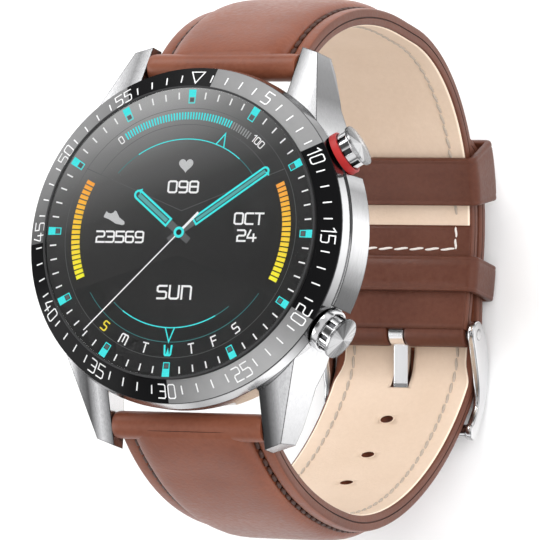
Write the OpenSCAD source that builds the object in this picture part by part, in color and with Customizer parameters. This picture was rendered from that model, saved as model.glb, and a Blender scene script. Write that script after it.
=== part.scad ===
// Round smartwatch with two pushers, closed on a padded leather strap with a pin buckle.
// Frame: the sensor window in the case back touches z = 0 at the origin, +Z leaves the dial,
// +Y points to 12 o'clock and +X to 3 o'clock. The strap loop hangs below the case.

/* [Case] */
// Diameter of the steel rim round the bezel
rim_d = 46.7; // [46.5:0.1:46.8]
// Height of the display surface above the case back
dial_z = 11.15; // [11:0.05:11.4]
// Thickness of the crystal
crystal_t = 0.8; // [0.6:0.1:1.4]
// Height of the seam between the mid case and the bezel rim
mid_top = 7.7; // [7.6:0.1:7.9]

/* [Lugs] */
// Clear width between a pair of lugs
lug_gap = 22.4; // [22.4:0.1:23.2]
// Distance of each spring bar from the middle of the case
bar_y = 24.7; // [24.5:0.1:24.9]
// Height of the spring bars
bar_z = 2.1; // [1.9:0.1:2.2]
// Distance of the lug tips from the middle of the case
lug_tip_y = 27.6; // [27.5:0.1:28.4]

/* [Pushers] */
// Angle of each pusher above or below 3 o'clock
pusher_angle = 30; // [29:0.5:31]
// Height of the pusher axes
pusher_z = 6.2; // [6:0.1:6.4]
// Diameter of a pusher cap
cap_d = 5.8; // [5.4:0.1:6.4]
// Inward travel of a pusher
travel = 0.6; // [0.3:0.1:0.6]

/* [Strap] */
// Width of the strap at the lugs
strap_w = 22; // [20:0.2:22]
// Width of the strap at the buckle
tail_w = 22.2; // [20:0.2:22.4]
// Thickness of the lining
lining_t = 1.0; // [0.8:0.1:1.2]
// Thickness of the outer leather
leather_t = 1.3; // [1:0.1:1.4]
// Rise of the padded middle above the strap's borders
pad_rise = 1.4; // [0.8:0.1:1.6]
// Width of the padded middle
pad_w = 16.4; // [14:0.2:17]

/* [Buckle] */
// Diameter of the buckle bar and the spring bars
bar_d = 1.5; // [1.3:0.1:1.6]
// Width of the buckle tongue
tongue_w = 2.2; // [1.8:0.1:2.4]
// Number of holes in the tail
hole_count = 7; // [5:1:7]

/* [Hidden] */
$fn = 96;

// Colours
steel = "#c9cacb";
leather_brown = "#7c4c3a";
lining_cream = "#dcc6ae";

// Case profile: radii and heights from the back upwards
rim_r = rim_d / 2;
wall_r = 22.9;
guard_r = 24.15;
guard_half_angle = 22.4;
flank_low = 3.2;
case_low = 1.2;
case_low_r = 21.6;
cavity_r = 20.8;
ledge_r = 18.4;
ledge_low = 2.4;
ledge_top = 3.8;
insert_in_r = 19.95;
insert_out_r = 22.9;
insert_fall = 1.4;
insert_t = 0.6;
panel_t = 0.9;
window_r = 9.6;
screw_ring_r = 19.4;
board_z = 6.6;
board_t = 0.6;
board_r = 16.9;
chassis_r = 20.1;
screw_r = 0.5;
screw_head_r = 0.85;
pad_y = -12.4;
pad_r = 0.9;
motor_at = [12.9, -8, 5];

// Lug tops fall from the bezel towards the wrist, and their outer corners are bevelled
lug_top_y = 13.3;
lug_top_z = 9.2;
lug_slope = 0.5;
lug_recess_y = 21.8;
lug_recess_top = 5.2;
lug_bevel_at = [16.5, 17.4, 7.15];
lug_bevel_turn = [0, -14, 23.8];
lug_tip_corner = 1.1;
bar_tip_r = 0.4;
bar_tip_in = 1.2;

// Pusher stations, measured outwards from the middle of the case
seat_r = 23.5;
barrel_r = 2.6;
barrel_in_r = 2.1;
collar_r = 2.95;
collar_t = 0.9;
barrel_start = seat_r + 0.2 + travel;
cap_start = barrel_start + 1.5;
coil_r = 1.86;
stem_r = 0.7;
stem_start = 19.1;
tube_r = 1.4;
tube_start = 19.6;
tube_end = 24.4;
seal_room_r = 1.2;
run_fit = 0.06;

// The strap loop, as (y, z) outlines of the face that meets the wrist
strap_t = lining_t + leather_t;
roll_r = 2.1;
upper_side = [[23.6, -0.1], [32, -5.2], [37.2, -18], [37.2, -31]];
lower_side = [[-23.6, -0.1], [-28.4, -6.5], [-31.4, -15], [-31.4, -27]];
lower_corner = [[-31.4, -27.5], [-31.4, -44], [-19, -61], [-5.6, -67.3]];
clasp_c = [10.7, -36.3];
clasp_r = 26.5;
clasp_top_z = -31.5;
tail_gap = 0.6;
tail_in_r = clasp_r + strap_t + tail_gap;
tail_join_angle = -85;
tail_tip_angle = -47;
buckle_y = 0.6;
buckle_z = -65;
buckle_roll_r = 1.95;
turned_end_y = 16.4;
bar_play = 0.05;
snug_bore = bar_d / 2 + run_fit;
loose_bore = bar_d / 2 + 0.35;
hole_r = 0.95;
hole_first = 24.5;
hole_pitch = 8.4;
keeper_t = 1.1;
fixed_keeper_y = 6.4;
fixed_keeper_w = 5.2;
free_keeper_angle = -63.6;
free_keeper_span = 15.8;
over_w = 12;

// Buckle frame: the arms are drawn between two curves in the (y, z) plane
arm_in = tail_w / 2 + 0.25;
arm_t = 1.1;
far_bar_y = -13.4;
far_bar_z = -66.6;
arm_upper = [[-0.6, -63.6], [-4, -65.4], [-8, -69.2], [far_bar_y + 1, -66.6]];
arm_lower = [[2.3, -66], [0, -70.8], [-9, -72.2], [far_bar_y - 1, -67]];
tongue_slot_w = tongue_w + 0.6;
tongue_room = [[-1, -64.9], [-6.5, -66.35], [-12.9, -67.05], [-12.9, -69.9], [-6.4, -68.9], [-1, -67.6]];

// Geometry helpers
function bezier_point(p, t) =
    let (u = 1 - t)
        u * u * u * p[0] + 3 * t * u * u * p[1] + 3 * t * t * u * p[2] + t * t * t * p[3];
function bezier(p, n) = [for (i = [0:n]) bezier_point(p, i / n)];
function on_circle(c, r, a) = c + r * [cos(a), sin(a)];
function arc(c, r, a0, a1, n) = [for (i = [0:n]) on_circle(c, r, a0 + (a1 - a0) * i / n)];
function reversed(p) = [for (i = [len(p) - 1:-1:0]) p[i]];
function heading(p, i) = let (d = p[min(i + 1, len(p) - 1)] - p[max(i - 1, 0)]) d / norm(d);
function outward(p, i, side) = let (h = heading(p, i)) side * [-h[1], h[0]];
function raised(p, d, side) = [for (i = [0:len(p) - 1]) p[i] + d * outward(p, i, side)];
function at_length(p, s, i = 0) =
    let (step = norm(p[i + 1] - p[i]))
        s <= step || i == len(p) - 2 ? [p[i] + s * heading(p, i), i] : at_length(p, s - step, i + 1);
function strap_half(z) = (strap_w + (tail_w - strap_w) * (bar_z - z) / (bar_z - buckle_z)) / 2;
function rest_of(p) = [for (i = [1:len(p) - 1]) p[i]];

upper_path = bezier(upper_side, 14);
lower_path = bezier(lower_side, 12);
clasp_path = concat(
    [[clasp_c[0] + clasp_r, clasp_top_z]],
    arc(clasp_c, clasp_r, 0, -90, 20),
    [[buckle_y + 0.4, clasp_c[1] - clasp_r]]
);
tail_join = on_circle(clasp_c, tail_in_r, tail_join_angle);
tail_under = [lower_corner[3], [-2.2, -68.9], [6.8, clasp_c[1] - tail_in_r - 0.2], tail_join];
tail_path = concat(
    bezier(lower_corner, 16),
    rest_of(bezier(tail_under, 8)),
    rest_of(arc(clasp_c, tail_in_r, tail_join_angle, tail_tip_angle, 9))
);

// A strap layer between two heights above the wrist face, between two places across the strap
module layer(p, side, d0, d1, x0, x1) {
    intersection() {
        translate([x0, 0, 0])
            rotate([90, 0, 90])
                linear_extrude(x1 - x0)
                    polygon(concat(raised(p, d0, side), reversed(raised(p, d1, side))));
        strap_taper();
    }
}

// The strap narrows evenly from the lugs down to the buckle
module strap_taper() {
    top = 6;
    low = -76;
    rotate([90, 0, 0])
        linear_extrude(160, center = true)
            polygon([
                [-strap_half(top), top], [strap_half(top), top],
                [strap_half(low), low], [-strap_half(low), low]
            ]);
}

// A round bar along X
module rod(y, z, r, half) {
    translate([-half, y, z])
        rotate([0, 90, 0])
            cylinder(r = r, h = 2 * half);
}

// A place on a pusher axis: local Z runs outwards from the middle of the case
module on_pusher(angle) {
    translate([0, 0, pusher_z])
        rotate([0, 0, angle])
            rotate([0, 90, 0])
                children();
}

module ring(r_in, r_out, z0, z1) {
    translate([0, 0, z0])
        difference() {
            cylinder(r = r_out, h = z1 - z0);
            translate([0, 0, -1])
                cylinder(r = r_in, h = z1 - z0 + 2);
        }
}

// ---- case ----

// One lug at the upper right, before the case is cut
module lug() {
    top_at_tip = lug_top_z - lug_slope * (lug_tip_y - lug_top_y);
    difference() {
        intersection() {
            translate([0, 0, -1])
                linear_extrude(12)
                    polygon([
                        [lug_gap / 2, 11], [lug_gap / 2, lug_tip_y], [14.4, lug_tip_y - lug_tip_corner],
                        [18.7, 16], [19.8, 11]
                    ]);
            rotate([90, 0, 90])
                linear_extrude(24)
                    polygon([
                        [11, case_low], [11, lug_top_z], [lug_top_y, lug_top_z], [lug_tip_y, top_at_tip],
                        [lug_tip_y, -0.6], [lug_tip_y - 3.4, -0.5], [19, case_low]
                    ]);
        }
        translate(lug_bevel_at)
            rotate(lug_bevel_turn)
                translate([0, -30, -30])
                    cube([20, 60, 60]);
    }
}

module four_ways() {
    for (sx = [0, 1]) {
        for (sy = [0, 1]) {
            mirror([sx, 0, 0])
                mirror([0, sy, 0])
                    children();
        }
    }
}

module at_screws() {
    for (a = [45:90:315]) {
        rotate([0, 0, a])
            translate([screw_ring_r, 0, 0])
                children();
    }
}

module at_pads() {
    for (x = [-4.5:3:4.5]) {
        translate([x, pad_y, 0.4])
            children();
    }
}

// Room for the guide tubes of the two pushers
module pusher_bores() {
    for (a = [-pusher_angle, pusher_angle]) {
        on_pusher(a)
            translate([0, 0, 16])
                cylinder(r = tube_r, h = 10);
    }
}

module mid_case() {
    color(steel)
        difference() {
            union() {
                rotate_extrude()
                    polygon([
                        [12, case_low], [case_low_r, case_low], [wall_r, flank_low],
                        [rim_r, mid_top], [12, mid_top]
                    ]);
                rotate([0, 0, -guard_half_angle])
                    rotate_extrude(angle = 2 * guard_half_angle)
                        polygon([
                            [18, case_low + 0.4], [case_low_r, case_low + 0.4], [guard_r, flank_low],
                            [rim_r + 0.25, mid_top], [18, mid_top]
                        ]);
                four_ways()
                    lug();
                for (a = [-pusher_angle, pusher_angle]) {
                    on_pusher(a)
                        translate([0, 0, 19])
                            cylinder(r = collar_r, h = seat_r - 19);
                }
            }
            translate([0, 0, ledge_top])
                cylinder(r = cavity_r, h = 10);
            translate([0, 0, ledge_low - 1])
                cylinder(r = ledge_r, h = 4);
            cylinder(r = 20.4, h = ledge_low);
            translate([0, 0, mid_top])
                cylinder(r = rim_r + 0.05, h = 4);
            for (side = [-1, 1]) {
                translate([-lug_gap / 2, side * (lug_recess_y + 10) - 10, -2])
                    cube([lug_gap, 20, lug_recess_top + 2]);
                rod(side * bar_y, bar_z, bar_tip_r + 0.05, lug_gap / 2 + bar_tip_in + 0.1);
            }
            pusher_bores();
            at_screws()
                translate([0, 0, 1])
                    cylinder(r = screw_r, h = 2.5);
        }
}

module bezel_rim() {
    insert_seat = dial_z - insert_t;
    color(steel)
        difference() {
            rotate_extrude()
                polygon([
                    [18.6, 9.3], [18.6, 9.9], [insert_in_r, 9.9], [insert_in_r, insert_seat],
                    [insert_out_r, insert_seat - insert_fall], [insert_out_r, dial_z - insert_fall],
                    [rim_r, mid_top], [cavity_r, mid_top], [cavity_r, mid_top - 0.7],
                    [20.2, mid_top - 0.7], [20.2, 9.3]
                ]);
            pusher_bores();
        }
}

module bezel_insert() {
    color("#15161a")
        rotate_extrude()
            polygon([
                [insert_in_r, dial_z], [insert_out_r, dial_z - insert_fall],
                [insert_out_r, dial_z - insert_fall - insert_t], [insert_in_r, dial_z - insert_t]
            ]);
}

module crystal() {
    r = insert_in_r - 0.05;
    top = dial_z + crystal_t;
    bevel = 0.3;
    color("#dfe8ee", 0.35)
        rotate_extrude()
            polygon([[0, dial_z], [r, dial_z], [r, top - bevel], [r - bevel, top], [0, top]]);
}

module crystal_gasket() {
    color("#1c1c1e")
        ring(18.9, 19.8, 9.9, dial_z - panel_t);
}

module display_panel() {
    color("#26282c")
        translate([0, 0, dial_z - panel_t])
            cylinder(r = insert_in_r - 0.15, h = panel_t);
}

module display_frame() {
    color("#8d9095")
        difference() {
            ring(11, chassis_r, 8.8, 9.3);
            translate([-4, -18.6, 8])
                cube([8, 2.4, 2]);
        }
}

module display_flex() {
    foot = board_z + board_t;
    color("#b5722f")
        translate([-3, 0, 0])
            rotate([90, 0, 90])
                linear_extrude(6)
                    polygon([
                        [-17.8, foot], [-15, foot], [-15, foot + 0.15], [-17.6, foot + 0.15],
                        [-17.6, dial_z - panel_t], [-17.8, dial_z - panel_t]
                    ]);
}

module inner_chassis() {
    color("#2f3136")
        difference() {
            ring(board_r + 0.1, chassis_r, ledge_top, 7.5);
            for (a = [-pusher_angle, pusher_angle]) {
                on_pusher(a)
                    translate([-4, -3.4, 16])
                        cube([5.6, 6.8, 6]);
            }
            translate([-3.5, -18.6, 5.4])
                cube([7, 2.4, 5]);
        }
}

module main_board() {
    color("#1f5c3d")
        translate([0, 0, board_z])
            cylinder(r = board_r, h = board_t);
}

module chip_shield() {
    color("#b9bcbf") {
        translate([-10, -4, board_z + board_t])
            cube([12, 11, 0.9]);
        translate([5, -6, board_z + board_t])
            cube([6, 8, 0.8]);
    }
}

module battery() {
    color("#3a3d44")
        translate([-13, -9.5, 3.4])
            cube([23, 19, 3]);
}

module battery_pad() {
    color("#d6d2c4")
        translate([-11, -8, 6.4])
            cube([19, 16, board_z - 6.4]);
}

module motor_case() {
    color("#a9acb0")
        translate(motor_at)
            rotate([-90, 0, 0])
                difference() {
                    cylinder(r = 1.5, h = 6);
                    translate([0, 0, 1])
                        cylinder(r = 0.36, h = 6);
                }
}

// Shaft with a half-round weight that clears the end of the motor case
module motor_rotor() {
    color("#6f7276")
        translate(motor_at)
            rotate([-90, 0, 0]) {
                translate([0, 0, 2])
                    cylinder(r = 0.3, h = 7.2);
                difference() {
                    translate([0, 0, 6.3])
                        cylinder(r = 1.4, h = 2.8);
                    translate([0.2, -2, 6])
                        cube([2, 4, 4]);
                }
            }
}

module speaker() {
    color("#55585d")
        translate([-4, 10.6, 3.4])
            cube([8, 4.6, 2.4]);
}

module microphone() {
    color("#c8b36a")
        translate([-9, 10.8, board_z - 1])
            cube([3, 2.4, 1]);
}

module side_switches() {
    color("#d0d2d4")
        for (a = [-pusher_angle, pusher_angle]) {
            on_pusher(a) {
                translate([-1, -1.7, board_r + 0.05])
                    cube([2.4, 3.4, 1.05]);
                translate([0, 0, board_r + 1])
                    cylinder(r = 0.6, h = 0.5);
            }
        }
}

module sensor_board() {
    color("#1d3f63")
        translate([0, 0, 2.55])
            cylinder(r = 9, h = 0.6);
}

module sensor_lamps() {
    color("#7fd08a")
        for (p = [[0, 0], [4, 0], [-4, 0], [0, 4], [0, -4]]) {
            translate([p[0] - 0.9, p[1] - 0.9, 2.2])
                cube([1.8, 1.8, 0.35]);
        }
}

module sensor_window() {
    color("#20242b", 0.7)
        rotate_extrude()
            polygon([
                [0, 0], [7, 0], [window_r, 0.3], [window_r, 1.4],
                [10.6, 1.4], [10.6, 2.2], [0, 2.2]
            ]);
}

module case_back() {
    color("#b4b6b8")
        difference() {
            rotate_extrude()
                polygon([
                    [window_r, 0.4], [16.4, 0.4], [17.6, case_low], [20.4, case_low],
                    [20.4, ledge_low], [10.6, ledge_low], [10.6, 1.4], [window_r, 1.4]
                ]);
            at_screws() {
                cylinder(r = screw_r, h = 3);
                cylinder(r = screw_head_r, h = case_low + 0.5);
            }
            at_pads()
                translate([0, 0, -1])
                    cylinder(r = pad_r, h = 4);
        }
}

module back_gasket() {
    color("#1c1c1e")
        ring(17.4, ledge_r, ledge_low, 3.2);
}

module back_screws() {
    color(steel)
        at_screws()
            translate([0, 0, case_low])
                difference() {
                    union() {
                        cylinder(r = screw_head_r, h = 0.5);
                        cylinder(r = screw_r, h = 2);
                    }
                    translate([-1, -0.12, -0.1])
                        cube([2, 0.24, 0.3]);
                }
}

module charging_pins() {
    color("#d8b45a")
        at_pads()
            cylinder(r = pad_r, h = 2.5);
}

// ---- pushers ----

module pusher_cap(angle) {
    cap_r = cap_d / 2;
    color(steel)
        on_pusher(angle)
            difference() {
                rotate_extrude()
                    polygon([
                        [0, cap_start], [barrel_in_r, cap_start], [barrel_in_r, barrel_start],
                        [barrel_r, barrel_start], [barrel_r, cap_start], [cap_r, cap_start + 0.05],
                        [cap_r, cap_start + 0.45], [cap_r - 0.15, cap_start + 0.6], [0, cap_start + 0.8]
                    ]);
                for (a = [0:45:315]) {
                    rotate([0, 0, a])
                        translate([barrel_r - 0.25, -0.4, barrel_start - 1])
                            cube([1, 0.8, cap_start - barrel_start + 0.8]);
                }
            }
}

module pusher_stem(angle) {
    color("#9a9da1")
        on_pusher(angle)
            translate([0, 0, stem_start])
                cylinder(r = stem_r, h = cap_start - stem_start);
}

module pusher_tube(angle) {
    bore = stem_r + run_fit;
    color("#a3a6aa")
        on_pusher(angle)
            rotate_extrude()
                polygon([
                    [bore, tube_start], [tube_r, tube_start], [tube_r, tube_end], [bore, tube_end],
                    [bore, 22.4], [seal_room_r, 22.4], [seal_room_r, 20.2], [bore, 20.2]
                ]);
}

// Round-wire compression spring between the case and the inside of the cap
module pusher_spring(angle) {
    turns = 3;
    steps = 14;
    sides = 6;
    wire_r = 0.14;
    first = seat_r + wire_r;
    rise = cap_start - wire_r - first;
    last = turns * steps;
    function wire_ring(i) = [
        for (s = [0:sides - 1])
            let (a = 360 * i / steps, b = 360 * s / sides, r = coil_r + wire_r * cos(b))
                [r * cos(a), r * sin(a), first + rise * i / last + wire_r * sin(b)]
    ];
    points = [for (i = [0:last]) each wire_ring(i)];
    walls = [
        for (i = [0:last - 1])
            for (s = [0:sides - 1])
                let (t = (s + 1) % sides)
                    [i * sides + s, (i + 1) * sides + s, (i + 1) * sides + t, i * sides + t]
    ];
    ends = [[for (s = [0:sides - 1]) s], [for (s = [sides - 1:-1:0]) last * sides + s]];
    color("#8d9094")
        on_pusher(angle)
            polyhedron(points, concat(walls, ends), convexity = 8);
}

module pusher_seal(angle) {
    color("#1c1c1e")
        on_pusher(angle)
            ring(stem_r, seal_room_r - run_fit, 21.2, 21.7);
}

module pusher_clip(angle) {
    color("#75787c")
        on_pusher(angle)
            ring(stem_r, 1.5, stem_start + 0.15, stem_start + 0.4);
}

// The collar that the slotted barrel slides into
module pusher_collar(angle, shade) {
    color(shade)
        on_pusher(angle)
            ring(barrel_r + run_fit, collar_r, seat_r, seat_r + collar_t);
}

// ---- spring bars ----

module spring_bar(side) {
    color("#b7b9bb") {
        rod(side * bar_y, bar_z, bar_d / 2, lug_gap / 2 - 0.1);
        rod(side * bar_y, bar_z, bar_tip_r, lug_gap / 2 + bar_tip_in);
    }
}

// ---- strap halves ----

// Leather rolled round the spring bar, flat borders and a padded middle
module strap_leather(p, side, bore) {
    half = strap_w / 2;
    hollow = pad_w / 2 - 1;
    pad_top = strap_t + pad_rise;
    color(leather_brown)
        difference() {
            union() {
                rod(side * bar_y, bar_z, roll_r, half);
                layer(p, side, lining_t, strap_t, -half, -hollow);
                layer(p, side, lining_t, strap_t, hollow, half);
                layer(p, side, pad_top - leather_t, pad_top, -pad_w / 2, pad_w / 2);
            }
            rod(side * bar_y, bar_z, bore, half + 1);
        }
}

module strap_lining(p, side) {
    half = strap_w / 2;
    color(lining_cream)
        difference() {
            layer(p, side, 0, lining_t, -half, half);
            rod(side * bar_y, bar_z, roll_r, half + 1);
        }
}

module strap_padding(p, side) {
    hollow = pad_w / 2 - 1;
    color("#cdbb9e")
        difference() {
            layer(p, side, lining_t, strap_t + pad_rise - leather_t, -hollow, hollow);
            rod(side * bar_y, bar_z, roll_r, strap_w);
        }
}

// ---- clasp ----

module clasp_strap_leather() {
    color(leather_brown)
        difference() {
            layer(clasp_path, 1, lining_t, strap_t, -over_w, over_w);
            rod(buckle_y, buckle_z, buckle_roll_r, 13);
        }
}

// The wrist side of the clasp: the lining ends where the turned leather begins
module clasp_strap_lining() {
    color(lining_cream)
        intersection() {
            layer(clasp_path, 1, 0, lining_t, -over_w, over_w);
            translate([-20, turned_end_y, -80])
                cube([40, 60, 60]);
        }
}

module strap_turned_end() {
    half = strap_half(buckle_z);
    color(leather_brown)
        difference() {
            union() {
                intersection() {
                    layer(clasp_path, 1, 0, lining_t, -over_w, over_w);
                    translate([-20, -40, -80])
                        cube([40, 40 + turned_end_y, 60]);
                }
                rod(buckle_y, buckle_z, buckle_roll_r, half);
            }
            rod(buckle_y, buckle_z, bar_d / 2, half + 1);
            translate([-tongue_slot_w / 2, buckle_y - 4, buckle_z - 4])
                cube([tongue_slot_w, 6.6, 8]);
        }
}

// The tail runs outside the buckle end and carries the holes. The one in use leans along the
// tongue and leaves room for its lift.
module tail_cuts() {
    for (k = [0:hole_count - 1]) {
        found = at_length(tail_path, hole_first + k * hole_pitch);
        out = outward(tail_path, found[1], -1);
        translate([0, found[0][0], found[0][1]])
            rotate([atan2(out[1], out[0]) - 90, 0, 0])
                translate([0, 0, -2])
                    cylinder(r = hole_r, h = 8);
    }
    translate([-tongue_slot_w / 2, 0, 0])
        rotate([90, 0, 90])
            linear_extrude(tongue_slot_w)
                polygon(tongue_room);
}

module tail_leather() {
    color(leather_brown)
        difference() {
            layer(tail_path, -1, lining_t, strap_t, -over_w, over_w);
            tail_cuts();
        }
}

module tail_lining() {
    color(lining_cream)
        difference() {
            layer(tail_path, -1, 0, lining_t, -over_w, over_w);
            tail_cuts();
        }
}

module fixed_keeper() {
    half = strap_half(buckle_z) + 0.25;
    top = clasp_c[1] - clasp_r + 0.05;
    low = clasp_c[1] - tail_in_r - strap_t - 1.1;
    color(leather_brown)
        difference() {
            translate([-half - keeper_t, fixed_keeper_y, low - keeper_t])
                cube([2 * (half + keeper_t), fixed_keeper_w, top - low + 2 * keeper_t]);
            translate([-half, fixed_keeper_y - 1, low])
                cube([2 * half, fixed_keeper_w + 2, top - low]);
        }
}

// The free keeper is bent to the strap's own curve and slides along it
module free_keeper() {
    half = strap_half(buckle_z) + 0.45;
    r_in = clasp_r - 0.35;
    r_out = tail_in_r + strap_t + 0.35;
    color(leather_brown)
        translate([0, clasp_c[0], clasp_c[1]])
            rotate([90, 0, 90])
                rotate([0, 0, free_keeper_angle - free_keeper_span / 2])
                    rotate_extrude(angle = free_keeper_span)
                        difference() {
                            translate([r_in - keeper_t, -half - keeper_t])
                                square([r_out - r_in + 2 * keeper_t, 2 * (half + keeper_t)]);
                            translate([r_in, -half])
                                square([r_out - r_in, 2 * half]);
                        }
}

// ---- buckle ----

module buckle_frame() {
    arm_out = arm_in + arm_t;
    color(steel) {
        difference() {
            for (side = [0, 1]) {
                mirror([side, 0, 0])
                    translate([arm_in, 0, 0])
                        rotate([90, 0, 90])
                            linear_extrude(arm_t)
                                union() {
                                    translate([buckle_y, buckle_z])
                                        circle(r = 2);
                                    polygon(concat(bezier(arm_upper, 12), reversed(bezier(arm_lower, 12))));
                                    translate([far_bar_y, far_bar_z])
                                        circle(r = 1.3);
                                }
            }
            rod(buckle_y, buckle_z, bar_d / 2 + bar_play, arm_out + 1);
        }
        rod(far_bar_y, far_bar_z, 1.0, arm_out);
    }
}

// The tongue loops round the buckle bar, passes the hole and rests on the far bar
module buckle_tongue() {
    color(steel)
        difference() {
            union() {
                rod(buckle_y, buckle_z, 1.75, tongue_w / 2);
                translate([-tongue_w / 2, 0, 0])
                    rotate([90, 0, 90])
                        linear_extrude(tongue_w)
                            polygon([
                                [buckle_y, buckle_z - 0.3], [-6.5, -66.85], [far_bar_y, far_bar_z - 1.05],
                                [far_bar_y - 1.5, far_bar_z - 0.75], [far_bar_y - 1.8, far_bar_z - 1.35],
                                [far_bar_y, far_bar_z - 2.1], [-6.4, -68.1], [buckle_y, buckle_z - 1.7]
                            ]);
            }
            rod(buckle_y, buckle_z, bar_d / 2 + bar_play, tongue_w);
        }
}

module buckle_bar() {
    color("#b7b9bb")
        rod(buckle_y, buckle_z, bar_d / 2, arm_in + arm_t);
}

mid_case();
bezel_rim();
bezel_insert();
crystal();
crystal_gasket();
display_panel();
display_frame();
display_flex();
inner_chassis();
main_board();
chip_shield();
battery();
battery_pad();
motor_case();
motor_rotor();
speaker();
microphone();
side_switches();
sensor_board();
sensor_lamps();
sensor_window();
case_back();
back_gasket();
back_screws();
charging_pins();
pusher_cap(pusher_angle);  // upper_pusher_cap
pusher_stem(pusher_angle);  // upper_pusher_stem
pusher_tube(pusher_angle);  // upper_pusher_tube
pusher_spring(pusher_angle);  // upper_pusher_spring
pusher_seal(pusher_angle);  // upper_pusher_seal
pusher_clip(pusher_angle);  // upper_pusher_clip
pusher_collar(pusher_angle, "#c01818");  // upper_pusher_red_collar
pusher_cap(-pusher_angle);  // lower_pusher_cap
pusher_stem(-pusher_angle);  // lower_pusher_stem
pusher_tube(-pusher_angle);  // lower_pusher_tube
pusher_spring(-pusher_angle);  // lower_pusher_spring
pusher_seal(-pusher_angle);  // lower_pusher_seal
pusher_clip(-pusher_angle);  // lower_pusher_clip
pusher_collar(-pusher_angle, steel);  // lower_pusher_collar
spring_bar(1);  // upper_spring_bar
spring_bar(-1);  // lower_spring_bar
strap_leather(upper_path, 1, snug_bore);  // upper_strap_leather
strap_lining(upper_path, 1);  // upper_strap_lining
strap_padding(upper_path, 1);  // upper_strap_padding
strap_leather(lower_path, -1, loose_bore);  // lower_strap_leather
strap_lining(lower_path, -1);  // lower_strap_lining
strap_padding(lower_path, -1);  // lower_strap_padding
clasp_strap_leather();
clasp_strap_lining();
strap_turned_end();
tail_leather();
tail_lining();
fixed_keeper();
free_keeper();
buckle_frame();
buckle_tongue();
buckle_bar();
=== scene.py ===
"""Round smartwatch on a padded leather strap: materials, leather work, dial graphics, lights and camera."""

import math
from contextlib import contextmanager

import bmesh
import bpy
from mathutils import Matrix, Vector


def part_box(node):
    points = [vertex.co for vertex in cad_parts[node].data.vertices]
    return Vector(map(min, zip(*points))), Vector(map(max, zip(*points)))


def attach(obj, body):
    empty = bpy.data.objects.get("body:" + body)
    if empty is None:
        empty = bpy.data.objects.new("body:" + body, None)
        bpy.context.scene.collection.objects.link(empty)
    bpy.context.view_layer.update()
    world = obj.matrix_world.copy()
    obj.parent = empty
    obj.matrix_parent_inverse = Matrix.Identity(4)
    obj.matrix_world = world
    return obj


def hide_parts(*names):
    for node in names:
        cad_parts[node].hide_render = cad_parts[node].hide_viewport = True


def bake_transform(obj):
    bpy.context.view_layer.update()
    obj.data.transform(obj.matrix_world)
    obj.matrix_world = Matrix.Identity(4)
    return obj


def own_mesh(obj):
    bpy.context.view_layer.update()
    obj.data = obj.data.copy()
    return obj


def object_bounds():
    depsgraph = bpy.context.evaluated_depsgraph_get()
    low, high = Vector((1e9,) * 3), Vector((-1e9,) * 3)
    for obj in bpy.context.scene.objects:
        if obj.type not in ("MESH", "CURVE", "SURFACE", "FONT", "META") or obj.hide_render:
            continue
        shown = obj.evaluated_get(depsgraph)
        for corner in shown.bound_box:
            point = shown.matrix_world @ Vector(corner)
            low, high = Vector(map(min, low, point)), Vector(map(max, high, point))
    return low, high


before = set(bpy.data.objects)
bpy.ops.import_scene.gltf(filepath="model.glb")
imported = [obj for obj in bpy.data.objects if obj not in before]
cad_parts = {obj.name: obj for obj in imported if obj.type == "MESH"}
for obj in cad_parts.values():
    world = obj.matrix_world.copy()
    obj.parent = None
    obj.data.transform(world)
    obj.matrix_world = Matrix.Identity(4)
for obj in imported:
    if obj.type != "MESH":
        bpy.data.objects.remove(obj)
cad_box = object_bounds()
MM = 0.001


# ---- small helpers ----

def lin(r, g, b):
    """A display colour, 0 to 255, as a linear colour."""
    def one(c):
        c /= 255
        return c / 12.92 if c <= 0.04045 else ((c + 0.055) / 1.055) ** 2.4
    return (one(r), one(g), one(b), 1.0)


def cool_grey(v):
    return (v, v, v * 1.01, 1)


def polar(r, deg):
    return (r * math.cos(math.radians(deg)), r * math.sin(math.radians(deg)))


def angles(n):
    """n equal steps round a circle, in radians."""
    return [2 * math.pi * i / n for i in range(n)]


def link(obj):
    bpy.context.scene.collection.objects.link(obj)
    return obj


def turned_to(x, y, z, origin):
    """The matrix that takes local axes to x, y and z, and the local origin to origin."""
    return Matrix.Translation(origin) @ Matrix((x, y, z)).transposed().to_4x4()


@contextmanager
def edit(mesh):
    bm = bmesh.new()
    bm.from_mesh(mesh)
    yield bm
    bm.to_mesh(mesh)
    bm.free()


def new_object(name, verts, faces, material, smooth=True):
    """A mesh object from points in millimetres."""
    mesh = bpy.data.meshes.new(name)
    mesh.from_pydata([tuple(c * MM for c in v) for v in verts], [], faces)
    mesh.validate()
    with edit(mesh) as bm:
        bmesh.ops.recalc_face_normals(bm, faces=bm.faces)
    if smooth:
        mesh.polygons.foreach_set("use_smooth", [True] * len(mesh.polygons))
    mesh.materials.append(material)
    return link(bpy.data.objects.new(name, mesh))


def sharp_by_angle(obj, deg):
    """Smooth shading, with edges sharper than the angle left crisp."""
    with edit(obj.data) as bm:
        for e in bm.edges:
            e.smooth = len(e.link_faces) == 2 and e.calc_face_angle(0) < math.radians(deg)
        for f in bm.faces:
            f.smooth = True


def weld(obj, distance=1e-7):
    """Joins points that lie on one another."""
    with edit(obj.data) as bm:
        bmesh.ops.remove_doubles(bm, verts=bm.verts, dist=distance)
        bmesh.ops.dissolve_degenerate(bm, edges=bm.edges, dist=distance)
        bmesh.ops.recalc_face_normals(bm, faces=bm.faces)


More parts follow.
